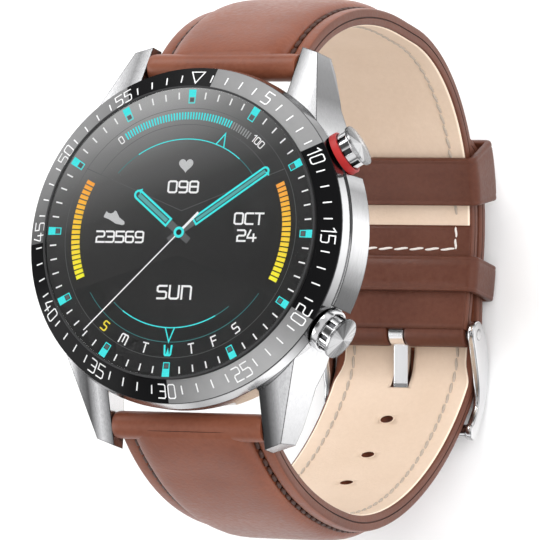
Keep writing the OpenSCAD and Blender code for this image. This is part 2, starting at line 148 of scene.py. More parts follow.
def cut(obj, cutter):
    """Takes one closed mesh out of another, and applies it."""
    mod = obj.modifiers.new("cut", "BOOLEAN")
    mod.operation = "DIFFERENCE"
    mod.solver = "EXACT"
    mod.object = cutter
    mod.material_mode = "TRANSFER"
    graph = bpy.context.evaluated_depsgraph_get()
    graph.update()
    mesh = bpy.data.meshes.new_from_object(obj.evaluated_get(graph))
    obj.modifiers.remove(mod)
    old = obj.data
    obj.data = mesh
    bpy.data.meshes.remove(old)
    bpy.data.objects.remove(cutter)


class Parts:
    """Collects many small shapes into one mesh."""

    def __init__(self):
        self.verts = []
        self.faces = []

    def add(self, verts, faces):
        n = len(self.verts)
        self.verts += verts
        self.faces += [tuple(i + n for i in f) for f in faces]

    def make(self, name, material, smooth=True):
        return new_object(name, self.verts, self.faces, material, smooth)


def loft(rows, around=False, ring=True, ends=True):
    """Faces between rows of points. around joins the last row to the first, ring closes each row."""
    count, n = len(rows), len(rows[0])
    faces = []
    for i in range(count if around else count - 1):
        j = (i + 1) % count
        for k in range(n if ring else n - 1):
            m = (k + 1) % n
            faces.append((i * n + k, j * n + k, j * n + m, i * n + m))
    if ends and not around:
        faces += [tuple(range(n)), tuple((count - 1) * n + k for k in range(n))]
    return [v for row in rows for v in row], faces


def disc(x, centre, r, steps):
    """A ring of points about an axis along x."""
    y, z = centre
    return [(x, y + r * math.cos(a), z + r * math.sin(a)) for a in angles(steps)]


def lathe(profile, steps=96, close=False):
    """A turned shape about local Z from (radius, height) points, in millimetres."""
    rows = [[(r * math.cos(a), r * math.sin(a), z) for r, z in profile] for a in angles(steps)]
    return loft(rows, around=True, ring=close)


# ---- materials ----

class Tree:
    """The nodes of a material or world, and short ways to wire them. Each way returns an output."""

    def __init__(self, owner, shader):
        owner.use_nodes = True
        self.owner = owner
        self.tree = owner.node_tree
        self.shader = self.tree.nodes[shader]
        self.coord = self.tree.nodes.new("ShaderNodeTexCoord").outputs

    def set(self, **values):
        for key, value in values.items():
            self.shader.inputs[key.replace("_", " ")].default_value = value

    def wire(self, name, out):
        self.tree.links.new(out, self.shader.inputs[name])

    def add(self, kind, inputs, **settings):
        """A new node's outputs. Each of its inputs is given a value or an output to follow."""
        n = self.tree.nodes.new("ShaderNode" + kind)
        for key, value in settings.items():
            setattr(n, key, value)
        for key, value in inputs.items():
            if isinstance(value, bpy.types.NodeSocket):
                self.tree.links.new(value, n.inputs[key])
            else:
                n.inputs[key].default_value = value
        return n.outputs

    def place(self, scale=(1, 1, 1)):
        """Object coordinates, stretched."""
        return self.add("Mapping", {"Vector": self.coord["Object"], "Scale": scale})["Vector"]

    def split(self, out):
        return self.add("SeparateXYZ", {"Vector": out})

    def noise(self, scale, detail=3.0, stretch=(1, 1, 1)):
        inputs = {"Vector": self.place(stretch), "Scale": scale, "Detail": detail}
        return self.add("TexNoise", inputs)["Fac"]

    def cells(self, scale, feature="F1"):
        return self.add("TexVoronoi", {"Vector": self.place(), "Scale": scale}, feature=feature)["Distance"]

    def ramp(self, fac, stops):
        n = self.tree.nodes.new("ShaderNodeValToRGB")
        first, last = n.color_ramp.elements
        first.position, first.color = stops[0]
        last.position, last.color = stops[-1]
        for at, colour in stops[1:-1]:
            n.color_ramp.elements.new(at).color = colour
        self.tree.links.new(fac, n.inputs["Fac"])
        return n.outputs["Color"]

    def range(self, value, low, high, to_low=0.0, to_high=1.0):
        return self.add("MapRange", {"Value": value, 1: low, 2: high, 3: to_low, 4: to_high})["Result"]

    def math(self, operation, a, b=0.0):
        return self.add("Math", {0: a, 1: b}, operation=operation)["Value"]

    def sum(self, a, times_a, b, times_b):
        return self.math("ADD", self.math("MULTIPLY", a, times_a), self.math("MULTIPLY", b, times_b))

    def vector(self, operation, a, b=(0, 0, 0)):
        return self.add("VectorMath", {0: a, 1: b}, operation=operation)

    def mix(self, fac, a, b, blend="MIX"):
        return self.add("Mix", {0: fac, 6: a, 7: b}, data_type="RGBA", blend_type=blend)[2]

    def compass(self, look):
        """0 to 1 round the compass, from the way a face looks."""
        return self.range(self.math("ARCTAN2", look["Y"], look["X"]), -math.pi, math.pi)

    def corners(self, radius):
        """1 along edges, 0 away from them."""
        rounded = self.add("Bevel", {"Radius": radius}, samples=8)["Normal"]
        true = self.add("NewGeometry", {})["Normal"]
        agreement = self.vector("DOT_PRODUCT", rounded, true)["Value"]
        return self.range(agreement, 0.955, 0.998, 1.0, 0.0)

    def bump(self, height, distance, strength=1.0, edge=0.0):
        """Bump from a height, and a softened edge of that radius in metres."""
        inputs = {"Height": height, "Distance": distance, "Strength": strength}
        if edge:
            inputs["Normal"] = self.add("Bevel", {"Radius": edge}, samples=6)["Normal"]
        self.wire("Normal", self.add("Bump", inputs)["Normal"])


def surface(name, base, rough, metallic=0.0):
    m = Tree(bpy.data.materials.new(name), "Principled BSDF")
    m.set(Base_Color=base, Roughness=rough, Metallic=metallic)
    return m


# painted shade, by how far a face looks down (0) or up (1)
FACING_SHADE_TONES = [
    (0.0, (0.50, 0.44, 0.40, 1)), (0.22, (0.62, 0.56, 0.52, 1)), (0.45, (0.92, 0.90, 0.88, 1)),
    (0.60, (1.0, 1.0, 1.0, 1)), (0.78, (0.90, 0.92, 0.93, 1)), (1.0, (0.80, 0.84, 0.86, 1)),
]


def leather(name, dark, light, rough, grain=2300, shade_by_facing=False):
    """Grained leather. With the facing flag, painted shade makes it deeper in tone on the faces that look
    down and up.
    """
    m = surface(name, light, rough)
    blotch = m.noise(110, 4)
    fine = m.noise(1500, 5)
    shade = m.ramp(m.sum(blotch, 0.6, fine, 0.4), [(0.36, dark), (0.64, light)])
    if shade_by_facing:
        # painted shade by the way each face looks
        facing_shade = m.ramp(m.range(m.split(m.coord["Normal"])["Z"], -1, 1), FACING_SHADE_TONES)
        shade = m.mix(1.0, shade, facing_shade, "MULTIPLY")
    m.wire("Base Color", shade)
    m.wire("Roughness", m.range(fine, 0.3, 0.7, rough - 0.06, rough + 0.08))
    grained = m.sum(m.cells(grain), 0.5, m.cells(grain * 0.45, "DISTANCE_TO_EDGE"), 0.8)
    m.bump(m.sum(grained, 1.0, blotch, 1.2), 0.00005, 0.55)
    m.set(Coat_Weight=0.03, Coat_Roughness=0.35, Specular_IOR_Level=0.27)
    return m.owner


def greys(stops, low=0.0, high=1.0):
    """Colour stops from (place, grey value) pairs, the places being between low and high."""
    return [((at - low) / (high - low), cool_grey(v)) for at, v in stops]


def steel(name, value, rough, streak, edge=0.00016, stretch=(4200, 40, 4200), paint=None):
    """Steel with fine brushing. paint works out a painted reflection tone from the place and the way a face
    looks, and then edges get painted dark reflection lines.
    """
    m = surface(name, cool_grey(value), rough, 1.0)
    lines = m.noise(1.0, 3, stretch)
    brushed = streak > 0.03
    if paint:
        tone = paint(m, m.split(m.coord["Normal"]), m.split(m.place()))
        dull = m.mix(m.range(lines, 0.3, 0.7), (0.86, 0.86, 0.86, 1), (1.0, 1.0, 1.0, 1))
        tone = m.mix(1.0 if brushed else 0.3, tone, dull, "MULTIPLY")
        # painted dark reflection lines along every edge
        m.wire("Base Color", m.mix(m.corners(0.00020), tone, (0.04, 0.04, 0.041, 1)))
    smudge = m.range(m.noise(130, 3), 0.4, 0.7, 0.0, 0.04)
    m.wire("Roughness", m.math("ADD", m.range(lines, 0.3, 0.7, rough - streak, rough + streak), smudge))
    m.bump(lines, 0.000006, 0.12 if brushed else 0.04, edge)
    return m.owner


def sides_or_top(m, look, side_tone, top_tone):
    return m.mix(m.range(look["Z"], 0.4, 0.65), side_tone, top_tone)


def by_direction(sides, tops):
    """Painted reflection tone by the compass direction a side looks in, or by how far a top looks to 12
    o'clock.
    """
    def paint(m, look, spot):
        side_tone = m.ramp(m.compass(look), greys(sides, -180, 180))
        top_tone = m.ramp(m.range(look["Y"], -1, 1), greys(tops))
        return sides_or_top(m, look, side_tone, top_tone)
    return paint


def case_paint(m, look, spot):
    """The brushed case with painted reflections: soft bands along the lugs and round the flank."""
    flank = m.ramp(m.compass(look), greys(CASE_SIDES, -180, 180))
    lug_side = m.ramp(m.range(spot["Y"], -0.028, 0.028), greys(LUG_SIDES, -28, 28))
    on_lug = m.range(m.math("ABSOLUTE", spot["Y"]), 0.0130, 0.0145)
    across = m.range(spot["X"], -0.018, 0.018)
    low_tops = m.ramp(across, greys(LOW_LUG_TOPS, -18, 18))
    high_tops = m.ramp(across, greys(HIGH_LUG_TOPS, -18, 18))
    top_tone = m.mix(m.range(spot["Y"], -0.001, 0.001), low_tops, high_tops)
    return sides_or_top(m, look, m.mix(on_lug, flank, lug_side), top_tone)


def plain(name, colour, rough, metallic=0.0, grain=1800, distance=0.00002, strength=0.4, edge=0.0001):
    m = surface(name, colour, rough, metallic)
    n = m.noise(grain, 4)
    dark = tuple(c * 0.82 for c in colour[:3]) + (1,)
    m.wire("Base Color", m.ramp(n, [(0.35, dark), (0.65, colour)]))
    m.wire("Roughness", m.range(n, 0.3, 0.7, max(rough - 0.06, 0.02), rough + 0.06))
    m.bump(n, distance, strength, edge)
    return m.owner


def glow(name, colour):
    """A lit part of the display, a little uneven as picture elements are."""
    m = surface(name, (0.01, 0.01, 0.01, 1), 0.4)
    dim = tuple(c * 0.9 for c in colour[:3]) + (1,)
    m.wire("Emission Color", m.ramp(m.noise(9000, 1), [(0.3, dim), (0.7, colour)]))
    m.set(Emission_Strength=1.0, Specular_IOR_Level=0.2)
    return m.owner


# strap leather, with painted shade on the faces that look down and up
BROWN = leather("brown_leather", lin(116, 62, 42), lin(132, 75, 53), 0.40, shade_by_facing=True)
# painted shade: a darker copy of the strap leather for the keepers, the turned end and the buckle rolls
BROWN_SHADED = leather("shaded_brown_leather", lin(82, 44, 31), lin(94, 54, 40), 0.40)
BROWN_EDGE = leather("painted_edge", lin(92, 52, 38), lin(104, 62, 47), 0.5, 3000)
# painted shade for the stitch grooves and the crease where the padding starts, and the dark seam line along
# each edge
BROWN_GROOVE_SHADE = leather("groove_shade_leather", lin(48, 24, 14), lin(70, 36, 24), 0.5)
CREAM = leather("lining_leather", lin(217, 194, 172), lin(224, 202, 181), 0.62, 3200)
CREAM_EDGE = leather("lining_edge", lin(246, 226, 204), lin(252, 234, 214), 0.5, 3200)
THREAD_BROWN = plain("brown_thread", lin(62, 30, 16), 0.6, grain=5000, distance=0.00006)
THREAD_CREAM = plain("pale_thread", lin(188, 174, 160), 0.7, grain=5000, distance=0.00006)
THREAD_WHITE = plain("white_thread", lin(240, 234, 228), 0.6, grain=5000, distance=0.00006)
# painted reflections of the brushed and polished steel, as grey tones: by compass direction in degrees, or by
# place in millimetres
CASE_SIDES = [
    (-180, 0.80), (-156, 0.80), (-125, 0.42), (-90, 0.34), (-60, 0.40), (-30, 0.62), (-23.6, 0.52),
    (-21.5, 0.10), (-16, 0.13), (-10, 0.34), (-5, 0.62), (2, 0.84), (7, 0.74), (12, 0.40), (17, 0.26),
    (20, 0.46), (22.6, 0.30), (24.5, 0.16), (40, 0.34), (70, 0.60), (90, 0.40), (125, 0.55), (156, 0.80),
    (180, 0.80),
]
LUG_SIDES = [
    (-28, 0.50), (-23, 0.66), (-17, 0.80), (-14, 0.7), (14, 0.62), (16, 0.42), (20, 0.17), (24, 0.20),
    (28, 0.30),
]
LOW_LUG_TOPS = [
    (-18, 0.90), (-16.4, 0.95), (-15.3, 0.25), (-14.2, 0.10), (-12.8, 0.70), (-11.2, 0.16), (0, 0.1),
    (11.2, 0.03), (12.1, 0.07), (13.1, 0.28), (14.2, 0.62), (18, 0.85),
]
HIGH_LUG_TOPS = [
    (-18, 0.6), (-15, 0.42), (-12.8, 0.18), (-11.2, 0.4), (0, 0.3), (11.2, 0.14), (12.2, 0.32), (13.6, 0.6),
    (15.2, 0.36), (18, 0.2),
]
RIM_SIDES = [
    (-180, 0.34), (-150, 0.22), (-120, 0.30), (-95, 0.62), (-80, 0.30), (-60, 0.62), (-48, 0.75),
    (-36, 0.14), (-24, 0.18), (-12, 0.45), (0, 0.8), (12, 0.62), (26, 0.22), (40, 0.14), (58, 0.5),
    (72, 0.66), (90, 0.30), (110, 0.16), (135, 0.30), (155, 0.48), (180, 0.34),
]
RIM_TOPS = [(0.0, 0.3), (1.0, 0.3)]
MIRROR_SIDES = [
    (-180, 0.5), (-140, 0.15), (-100, 0.8), (-70, 0.2), (-45, 0.75), (-15, 0.85), (5, 0.72), (16, 0.22),
    (30, 0.7), (60, 0.85), (80, 0.2), (110, 0.75), (150, 0.3), (180, 0.5),
]
MIRROR_TOPS = [
    (0.0, 0.12), (0.2, 0.75), (0.35, 0.2), (0.5, 0.7), (0.62, 0.8), (0.75, 0.18), (0.85, 0.7), (1.0, 0.2),
]
STEEL = steel("brushed_case_steel_painted_reflections", 0.6, 0.20, 0.04, paint=case_paint)
RIM_STEEL = steel("rim_steel_painted_reflections", 0.6, 0.12, 0.02, 0.00008, paint=by_direction(RIM_SIDES, RIM_TOPS))
MIRROR = steel("mirror_steel_painted_reflections", 0.6, 0.08, 0.015, 0.0001, paint=by_direction(MIRROR_SIDES, MIRROR_TOPS))
# painted shade: dark steel for the walls of the pusher barrel's slots
SLOT_SHADE_STEEL = plain("slot_shade_steel", lin(70, 70, 72), 0.3, 1.0)
POLISHED = steel("polished_steel", 0.66, 0.10, 0.02)
BRIGHT = steel("bright_steel", 0.86, 0.14, 0.02)
WIRE = steel("drawn_steel", 0.62, 0.28, 0.05, 0.00004)
BACK_STEEL = steel("satin_back_steel", 0.70, 0.32, 0.05, 0.00012, (1800, 1800, 200))
RUBBER = plain("black_rubber", lin(30, 30, 31), 0.7)
BLACK_PLASTIC = plain("black_plastic", lin(44, 45, 48), 0.5)
FILLER = plain("pressed_filler", lin(176, 156, 126), 0.8, grain=700)
CIRCUIT = plain("green_circuit", lin(28, 88, 60), 0.4, grain=900)
SENSOR_BLUE = plain("blue_circuit", lin(28, 62, 102), 0.4, grain=900)
TINNED = plain("tinned_shield", lin(186, 188, 190), 0.3, 1.0)
COPPER = plain("copper_flex", lin(190, 120, 56), 0.4)
WRAP = plain("battery_wrap", lin(62, 66, 74), 0.35)
FOAM = plain("foam_pad", lin(214, 208, 194), 0.9)
LENS = plain("lamp_lens", lin(130, 214, 142), 0.15)
GOLD = plain("gold_contact", lin(222, 184, 92), 0.22, 1.0)
RED = plain("red_lacquer", lin(158, 2, 1), 0.5, grain=900, distance=0.00001)
PRINT = plain("white_print", lin(238, 238, 238), 0.45)
FLOOR = plain("pale_floor", lin(254, 254, 254), 0.9, grain=25, distance=0.0002, strength=0.02, edge=0.0)

WHITE_GLOW = glow("display_white", lin(246, 246, 246))
CYAN_GLOW = glow("display_cyan", lin(62, 236, 236))
DIM_CYAN = glow("display_dim_cyan", lin(48, 132, 134))
GREY_GLOW = glow("display_grey", lin(150, 152, 152))
DIM_GREY = glow("display_dim_grey", lin(92, 93, 94))
ICON_GLOW = glow("display_icon", lin(196, 197, 198))
GOLD_GLOW = glow("display_yellow", lin(246, 226, 60))
HAND_FILL = glow("display_hand_fill", lin(92, 168, 168))
DARK_GLOW = glow("display_dark", lin(20, 20, 20))
DARK_BAND = glow("display_dark_band", lin(14, 14, 14))


def dial_panel_material():
    """Charcoal wallpaper that is lighter towards the upper left."""
    m = surface("display_wallpaper", (0.008, 0.008, 0.008, 1), 0.35)
    spot = m.split(m.place())
    along = m.range(m.sum(spot["X"], -0.36, spot["Y"], 0.93), -0.020, 0.020)
    tones = [(0.0, 20), (0.30, 25), (0.52, 38), (0.64, 54), (0.76, 88), (0.86, 124), (0.97, 165)]
    m.wire("Emission Color", m.ramp(along, [(at, lin(v, v, v)) for at, v in tones]))
    m.set(Emission_Strength=1.0, Specular_IOR_Level=0.2)
    return m.owner


# painted reflections on the ring: grey sectors from minute to minute, and the grey of each on the way round
REFLECTION_SECTORS = ((1.1, 9.35), (19.9, 29.95), (44.3, 55.35))
REFLECTION_TONES = [
    (0, 118), (5, 134), (10, 128), (20, 112), (23, 150), (26.5, 146), (30, 112), (44, 80), (50, 134),
    (56, 112), (60, 112),
]


def bezel_material():
    """Gloss black ring with satin grey sectors of painted reflection that have crisp radial ends."""
    m = surface("bezel_ring", (0.004, 0.004, 0.005, 1), 0.16)
    spot = m.split(m.place())
    turn = m.range(m.math("ARCTAN2", spot["X"], spot["Y"]), -math.pi, math.pi, -0.5, 0.5)
    minute = m.math("MULTIPLY", m.math("FRACT", m.math("ADD", turn, 1.0)), 60.0)
    tone = m.ramp(m.math("DIVIDE", minute, 60.0), [(at / 60, lin(v, v, v)) for at, v in REFLECTION_TONES])
    # 1 within a sector of painted reflection
    in_reflection = 0.0
    for start, end in REFLECTION_SECTORS:
        sector = m.math("MULTIPLY", m.math("GREATER_THAN", minute, start), m.math("LESS_THAN", minute, end))
        in_reflection = m.math("ADD", in_reflection, sector)
    black = lin(13, 13, 14)
    brushed = m.noise(1.0, 2, (700, 700, 700))
    m.wire("Base Color", m.mix(m.range(brushed, 0.3, 0.7, 0.0, 0.06), m.mix(in_reflection, black, tone), black))
    m.bump(brushed, 0.000004, 0.1)
    m.set(Specular_IOR_Level=0.05)
    return m.owner


def crystal_material():
    m = surface("clear_crystal", (1, 1, 1, 1), 0.0)
    m.wire("Roughness", m.range(m.noise(500, 2), 0.3, 0.7, 0.0, 0.015))
    m.set(Transmission_Weight=1.0, IOR=1.22)
    return m.owner


CRYSTAL = crystal_material()
CAD_LOOKS = (
    (STEEL, "mid_case"), (RIM_STEEL, "bezel_rim"), (bezel_material(), "bezel_insert"),
    (dial_panel_material(), "display_panel"), (RUBBER, "crystal_gasket back_gasket"),
    (TINNED, "display_frame chip_shield motor_case side_switches"), (COPPER, "display_flex"),
    (BLACK_PLASTIC, "inner_chassis speaker"), (CIRCUIT, "main_board"), (WRAP, "battery"),
    (FOAM, "battery_pad"), (GOLD, "microphone charging_pins"), (SENSOR_BLUE, "sensor_board"),
    (LENS, "sensor_lamps"), (plain("dark_sensor_glass", lin(28, 31, 38), 0.08), "sensor_window"),
    (BACK_STEEL, "case_back"), (POLISHED, "back_screws lower_pusher_collar"),
    (RED, "upper_pusher_red_collar"), (MIRROR, "buckle_frame"), (BRIGHT, "buckle_tongue"),
    (WIRE, "motor_rotor upper_spring_bar lower_spring_bar buckle_bar"),
    (FILLER, "upper_strap_padding lower_strap_padding"),
)
PUSHER_LOOKS = (
    (WIRE, "{0}_pusher_stem {0}_pusher_tube {0}_pusher_clip"), (RUBBER, "{0}_pusher_seal"),
)
looks = list(CAD_LOOKS)
for side in ("upper", "lower"):
    looks += [(material, names.format(side)) for material, names in PUSHER_LOOKS]
for material, names in looks:
    for name in names.split():
        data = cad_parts[name].data
        if not data.materials:
            data.materials.append(material)
        for i in range(len(data.materials)):
            data.materials[i] = material

# ---- sizes, in millimetres, from the frame ----

DIAL_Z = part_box("display_panel")[1][2] / MM
CRYSTAL_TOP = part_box("crystal")[1][2] / MM
CRYSTAL_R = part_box("crystal")[1][0] / MM - 0.07
RING_IN = 19.95
RING_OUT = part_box("bezel_insert")[1][0] / MM
RING_FALL = 1.4
BAR_Y, BAR_Z = 24.7, 2.1
STRAP_T = 2.3
PAD_RISE = 1.4
BUCKLE_Y, BUCKLE_Z = 0.6, -65.0
CLASP_C = (10.7, -36.3)
CLASP_R = 26.5
TAIL_IN_R = CLASP_R + STRAP_T + 0.6
STRAP_HALF, TAIL_HALF = 11.0, 11.1


def strap_half(z):
    return STRAP_HALF + (TAIL_HALF - STRAP_HALF) * (BAR_Z - z) / (BAR_Z - BUCKLE_Z)


# ---- camera ----

camera_data = bpy.data.cameras.new("camera")
camera_data.lens = 358.3
camera_data.sensor_width = 36.0
camera = link(bpy.data.objects.new("camera", camera_data))
bpy.context.scene.camera = camera
look = Vector((-0.4172, 0.1717, -0.8925)).normalized()
right = look.cross(Vector((-0.0125, 0.9808, 0.1946))).normalized()
camera.matrix_world = turned_to(right, right.cross(look).normalized(), -look, (0.3104, -0.1270, 0.6458))

# ---- strokes, digits and letters ----

# each has its width, then the points of its lines, in tenths of its height
GLYPHS = {
    "0": "6; 1,0 5,0 6,1 6,9 5,10 1,10 0,9 0,1 1,0",
    "1": "3.6; 0.4,8.4 3,10 3,0",
    "2": "6; 0,10 5,10 6,9 6,6 5,5 1,5 0,4 0,0 6,0",
    "3": "6; 0,10 5,10 6,9 6,1 5,0 0,0; 1.4,5 5.6,5",
    "4": "6.4; 2,10 0,4.2 0,3 6.4,3; 4.6,6.2 4.6,0",
    "5": "6; 6,10 0,10 0,5.6 5,5.6 6,4.6 6,1 5,0 0,0",
    "6": "6; 5.4,10 1,10 0,9 0,1 1,0 5,0 6,1 6,4.4 5,5.4 0.4,5.4",
    "8": "6; 1,0 5,0 6,1 6,9 5,10 1,10 0,9 0,1 1,0; 0.4,5.2 5.6,5.2",
    "9": "6; 0.6,0 5,0 6,1 6,9 5,10 1,10 0,9 0,5.6 1,4.6 5.6,4.6",
    "S": "6; 5.8,10 1,10 0,9 0,6.2 0.8,5.4 5,5.4 6,4.4 6,1 5,0 0.2,0",
    "U": "6; 0,10 0,1 1,0 5,0 6,1 6,10",
    "N": "6; 0,0 0,10 5,10 6,9 6,0",
    "O": "6.4; 1,0 5.4,0 6.4,1 6.4,9 5.4,10 1,10 0,9 0,1 1,0",
    "C": "6; 6,10 1,10 0,9 0,1 1,0 6,0",
    "T": "6; 0,10 6,10; 3,9.6 3,0",
    "M": "8.4; 0,0 0,9 1,10 7.4,10 8.4,9 8.4,0; 4.2,9.6 4.2,2",
    "W": "8.6; 0,10 1,1 1.8,0 3.4,0 4.3,5 5.2,0 6.8,0 7.6,1 8.6,10",
    "F": "5.6; 5.6,10 0,10 0,0; 0.4,5.2 4.6,5.2",
}


def stroke(points, width):
    """A mitred band along a flat line, closed if the line ends where it starts, as (points, faces)."""
    closed = points[0] == points[-1]
    pts = [Vector(p) for p in (points[:-1] if closed else points)]
    n = len(pts)
    verts, faces = [], []
    for i in range(n):
        before = pts[i] - pts[i - 1] if (i or closed) else pts[1] - pts[0]
        after = pts[(i + 1) % n] - pts[i] if (i < n - 1 or closed) else before
        before, after = before.normalized(), after.normalized()
        normal = Vector((-(before + after).y, (before + after).x)).normalized()
        side = Vector((-before.y, before.x))
        reach = width / 2 / max(normal.dot(side), 0.35)
        end = Vector((0, 0))
        if not closed and i in (0, n - 1):
            end = before * (-width / 2 if i == 0 else width / 2)
        verts += [pts[i] + normal * reach + end, pts[i] - normal * reach + end]
    for i in range(n if closed else n - 1):
        j = (i + 1) % n
        faces.append((2 * i, 2 * i + 1, 2 * j + 1, 2 * j))
    return verts, faces


def draw(parts, points, width, spot):
    """Adds a band along a flat line. spot takes a flat (x, y) to the place on the object."""
    verts, faces = stroke(points, width)
    parts.add([spot(x, y) for x, y in verts], faces)


def write(parts, words, height, weight, spot, gap=0.26, stretch=1.0):
    """Draws words centred on local (0, 0)."""
    glyphs = [GLYPHS[c].split(";") for c in words]
    widths = [float(g[0]) / 10 * stretch for g in glyphs]
    x = -(sum(widths) + gap * (len(words) - 1)) / 2
    for width, (_, *lines) in zip(widths, glyphs):
        for line in lines:
            tenths = [[float(v) / 10 for v in pair.split(",")] for pair in line.split()]
            points = [((x + px * stretch) * height, (py - 0.5) * height) for px, py in tenths]
            draw(parts, points, weight, spot)
        x += width + gap


def thicken(obj, depth):
    mod = obj.modifiers.new("depth", "SOLIDIFY")
    mod.thickness = depth * MM
    mod.offset = 0
    return obj


GRAPHIC_Z = DIAL_Z + 0.14
HAND_Z = GRAPHIC_Z + 0.06


def flat(dx, dy, z=GRAPHIC_Z):
    """Takes a local (x, y) to the display, moved by (dx, dy)."""
    return lambda x, y: (x + dx, y + dy, z)


def at_polar(r0, deg, outward, z=GRAPHIC_Z):
    """Takes a local (x, y) to a ring: tops point outwards or inwards."""
    def spot(x, y):
        if outward:
            px, py = polar(r0 + y, deg - math.degrees(x / r0))
        else:
            px, py = polar(r0 - y, deg + math.degrees(x / r0))
        return (px, py, z)
    return spot


def ring_z(r):
    return DIAL_Z - RING_FALL * (r - RING_IN) / (RING_OUT - RING_IN)


def on_ring(r0, deg, outward):
    inner = at_polar(r0, deg, outward)

    def spot(x, y):
        px, py, _ = inner(x, y)
        return (px, py, ring_z(math.hypot(px, py)) + 0.02)
    return spot


def bar(parts, spot, x0, x1, y0, y1, cuts=1):
    xs = [x0 + (x1 - x0) * i / cuts for i in range(cuts + 1)]
    parts.add(*loft([[spot(x, y0), spot(x, y1)] for x in xs], ring=False, ends=False))


def arc_band(parts, r, width, a0, a1, z=GRAPHIC_Z, steps=60):
    verts, faces = [], []
    for i in range(steps + 1):
        a = a0 + (a1 - a0) * i / steps
        verts += [polar(r - width / 2, a) + (z,), polar(r + width / 2, a) + (z,)]
    for i in range(steps):
        faces.append((2 * i, 2 * i + 1, 2 * i + 3, 2 * i + 2))
    parts.add(verts, faces)


def minute_angle(minute):
    return 90 - 6 * minute


# ---- bezel print ----

print_parts = Parts()
for minute in range(60):
    deg = minute_angle(minute)
    if minute == 0:
        triangle = [(-0.92, 0.82), (0.92, 0.82), (0, -0.9), (-0.92, 0.82)]
        draw(print_parts, triangle, 0.15, on_ring(21.45, deg, True))
    elif minute % 5 == 0:
        tops_outward = not 22 < minute < 43
        write(print_parts, str(minute), 1.72, 0.16, on_ring(21.42, deg, tops_outward), 0.26, 0.95)
    else:
        bar(print_parts, on_ring(21.3, deg, True), -0.09, 0.09, -0.55, 0.55)
bezel_print = thicken(print_parts.make("bezel_print", PRINT, False), 0.03)
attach(bezel_print, "case")

# ---- display graphics ----

white, cyan, dim_cyan, grey, dim_grey = Parts(), Parts(), Parts(), Parts(), Parts()
dark, dark_band, icons, day_gold, lit = Parts(), Parts(), Parts(), Parts(), Parts()

for minute in range(60):
    deg = minute_angle(minute)
    if minute % 5:
        bar(white, at_polar(18.75, deg, True), -0.1, 0.1, -0.48, 0.48)
    else:
        spot = at_polar(18.6, deg, True)
        bar(cyan, spot, -0.52, 0.52, -0.1, 0.95, 4)
        draw(cyan, [(-0.44, -0.1), (-0.44, -0.9), (0.44, -0.9), (0.44, -0.1)], 0.13, spot)
        bar(dim_grey, spot, -0.3, 0.3, -0.74, -0.2)


def fan(parts, apex, a0, a1, r, z, steps=48):
    """A flat sector from an apex to an arc about the dial's middle."""
    verts = [apex + (z,)]
    for i in range(steps + 1):
        verts.append(polar(r, a0 + (a1 - a0) * i / steps) + (z,))
    parts.add(verts, [(0, i, i + 1) for i in range(1, steps + 1)])


# sector lines and the darker lower sector
fan(dark, (0.0, -3.05), -151.5, -28.5, 16.95, DIAL_Z + 0.04)
arc_band(dark_band, 15.1, 3.6, -149, -31, DIAL_Z + 0.07)
for deg in (149.5, 31.0):
    draw(dim_grey, [(0.0, 2.95), polar(17.0, deg)], 0.09, flat(0, 0, DIAL_Z + 0.11))
arc_band(dim_grey, 14.75, 0.07, 148, 32, DIAL_Z + 0.11)
arc_band(dim_grey, 17.0, 0.06, 0, 360, DIAL_Z + 0.03, 120)

# upper gauge, and a pointer on each of the two long arcs
for i in range(48):
    deg = 125.0 - i * 69.0 / 47
    bar(cyan if deg > 66.5 else grey, at_polar(15.95, deg, True), -0.1, 0.1, -0.5, 0.5)
write(white, "0", 0.95, 0.14, at_polar(16.0, 128.3, True))
write(white, "100", 0.95, 0.14, at_polar(16.15, 50.3, True), 0.22)
arc_band(dim_cyan, 12.75, 0.09, 141, 38)
arc_band(cyan, 12.75, 0.13, 124, 52, GRAPHIC_Z + 0.01)
for deg, base, rise, half in ((68.0, 12.8, 1.75, 0.62), (-90.0, 13.0, 1.85, 0.66)):
    draw(cyan, [(-half, 0), (0, rise), (half, 0)], 0.17, at_polar(base, deg, True))

# heart
heart = []
for t in angles(40):
    x = 16 * math.sin(t) ** 3
    y = 13 * math.cos(t) - 5 * math.cos(2 * t) - 2 * math.cos(3 * t) - math.cos(4 * t)
    heart.append((0.05 + x * 0.066, 9.2 + y * 0.066, GRAPHIC_Z))
icons.add(heart, [tuple(range(len(heart)))])

# shoe
shoe = [(-1.6, 0.25), (-1.25, 0.95), (-1.0, 0.72), (-0.55, 0.62), (-0.2, 0.78), (0.0, 1.05), (0.22, 0.95),
        (0.75, 0.1), (1.55, -0.45), (1.6, -0.8), (1.3, -0.95), (0.3, -0.75), (-0.8, -0.15), (-1.55, 0.1)]
icons.add([(x - 9.85, y + 1.85, GRAPHIC_Z) for x, y in shoe], [tuple(range(len(shoe)))])

# pulse, steps, month, day and weekday
for words, height, weight, dx, dy, gap, wide in (
    ("098", 1.5, 0.26, -0.05, 6.2, 0.24, 1.35), ("23569", 1.45, 0.25, -8.75, -0.7, 0.22, 1.3),
    ("OCT", 1.45, 0.25, 10.05, 1.95, 0.24, 1.3), ("24", 1.45, 0.25, 9.95, -0.35, 0.24, 1.3),
    ("SUN", 1.7, 0.27, 0.1, -8.15, 0.28, 1.3),
):
    write(white, words, height, weight, flat(dx, dy), gap, wide)

# lower arcs and the days of the week
arc_band(dim_cyan, 12.95, 0.1, -132, -50)
arc_band(cyan, 12.95, 0.14, -124, -60, GRAPHIC_Z + 0.01)
arc_band(dim_cyan, 14.9, 0.08, -146, -33)
for k, letter in enumerate("SMTWTFS"):
    target, weight = {0: (day_gold, 0.19), 3: (cyan, 0.27)}.get(k, (white, 0.19))
    write(target, letter, 1.25, weight, at_polar(16.05, -90 + 12.3 * (k - 3), False))

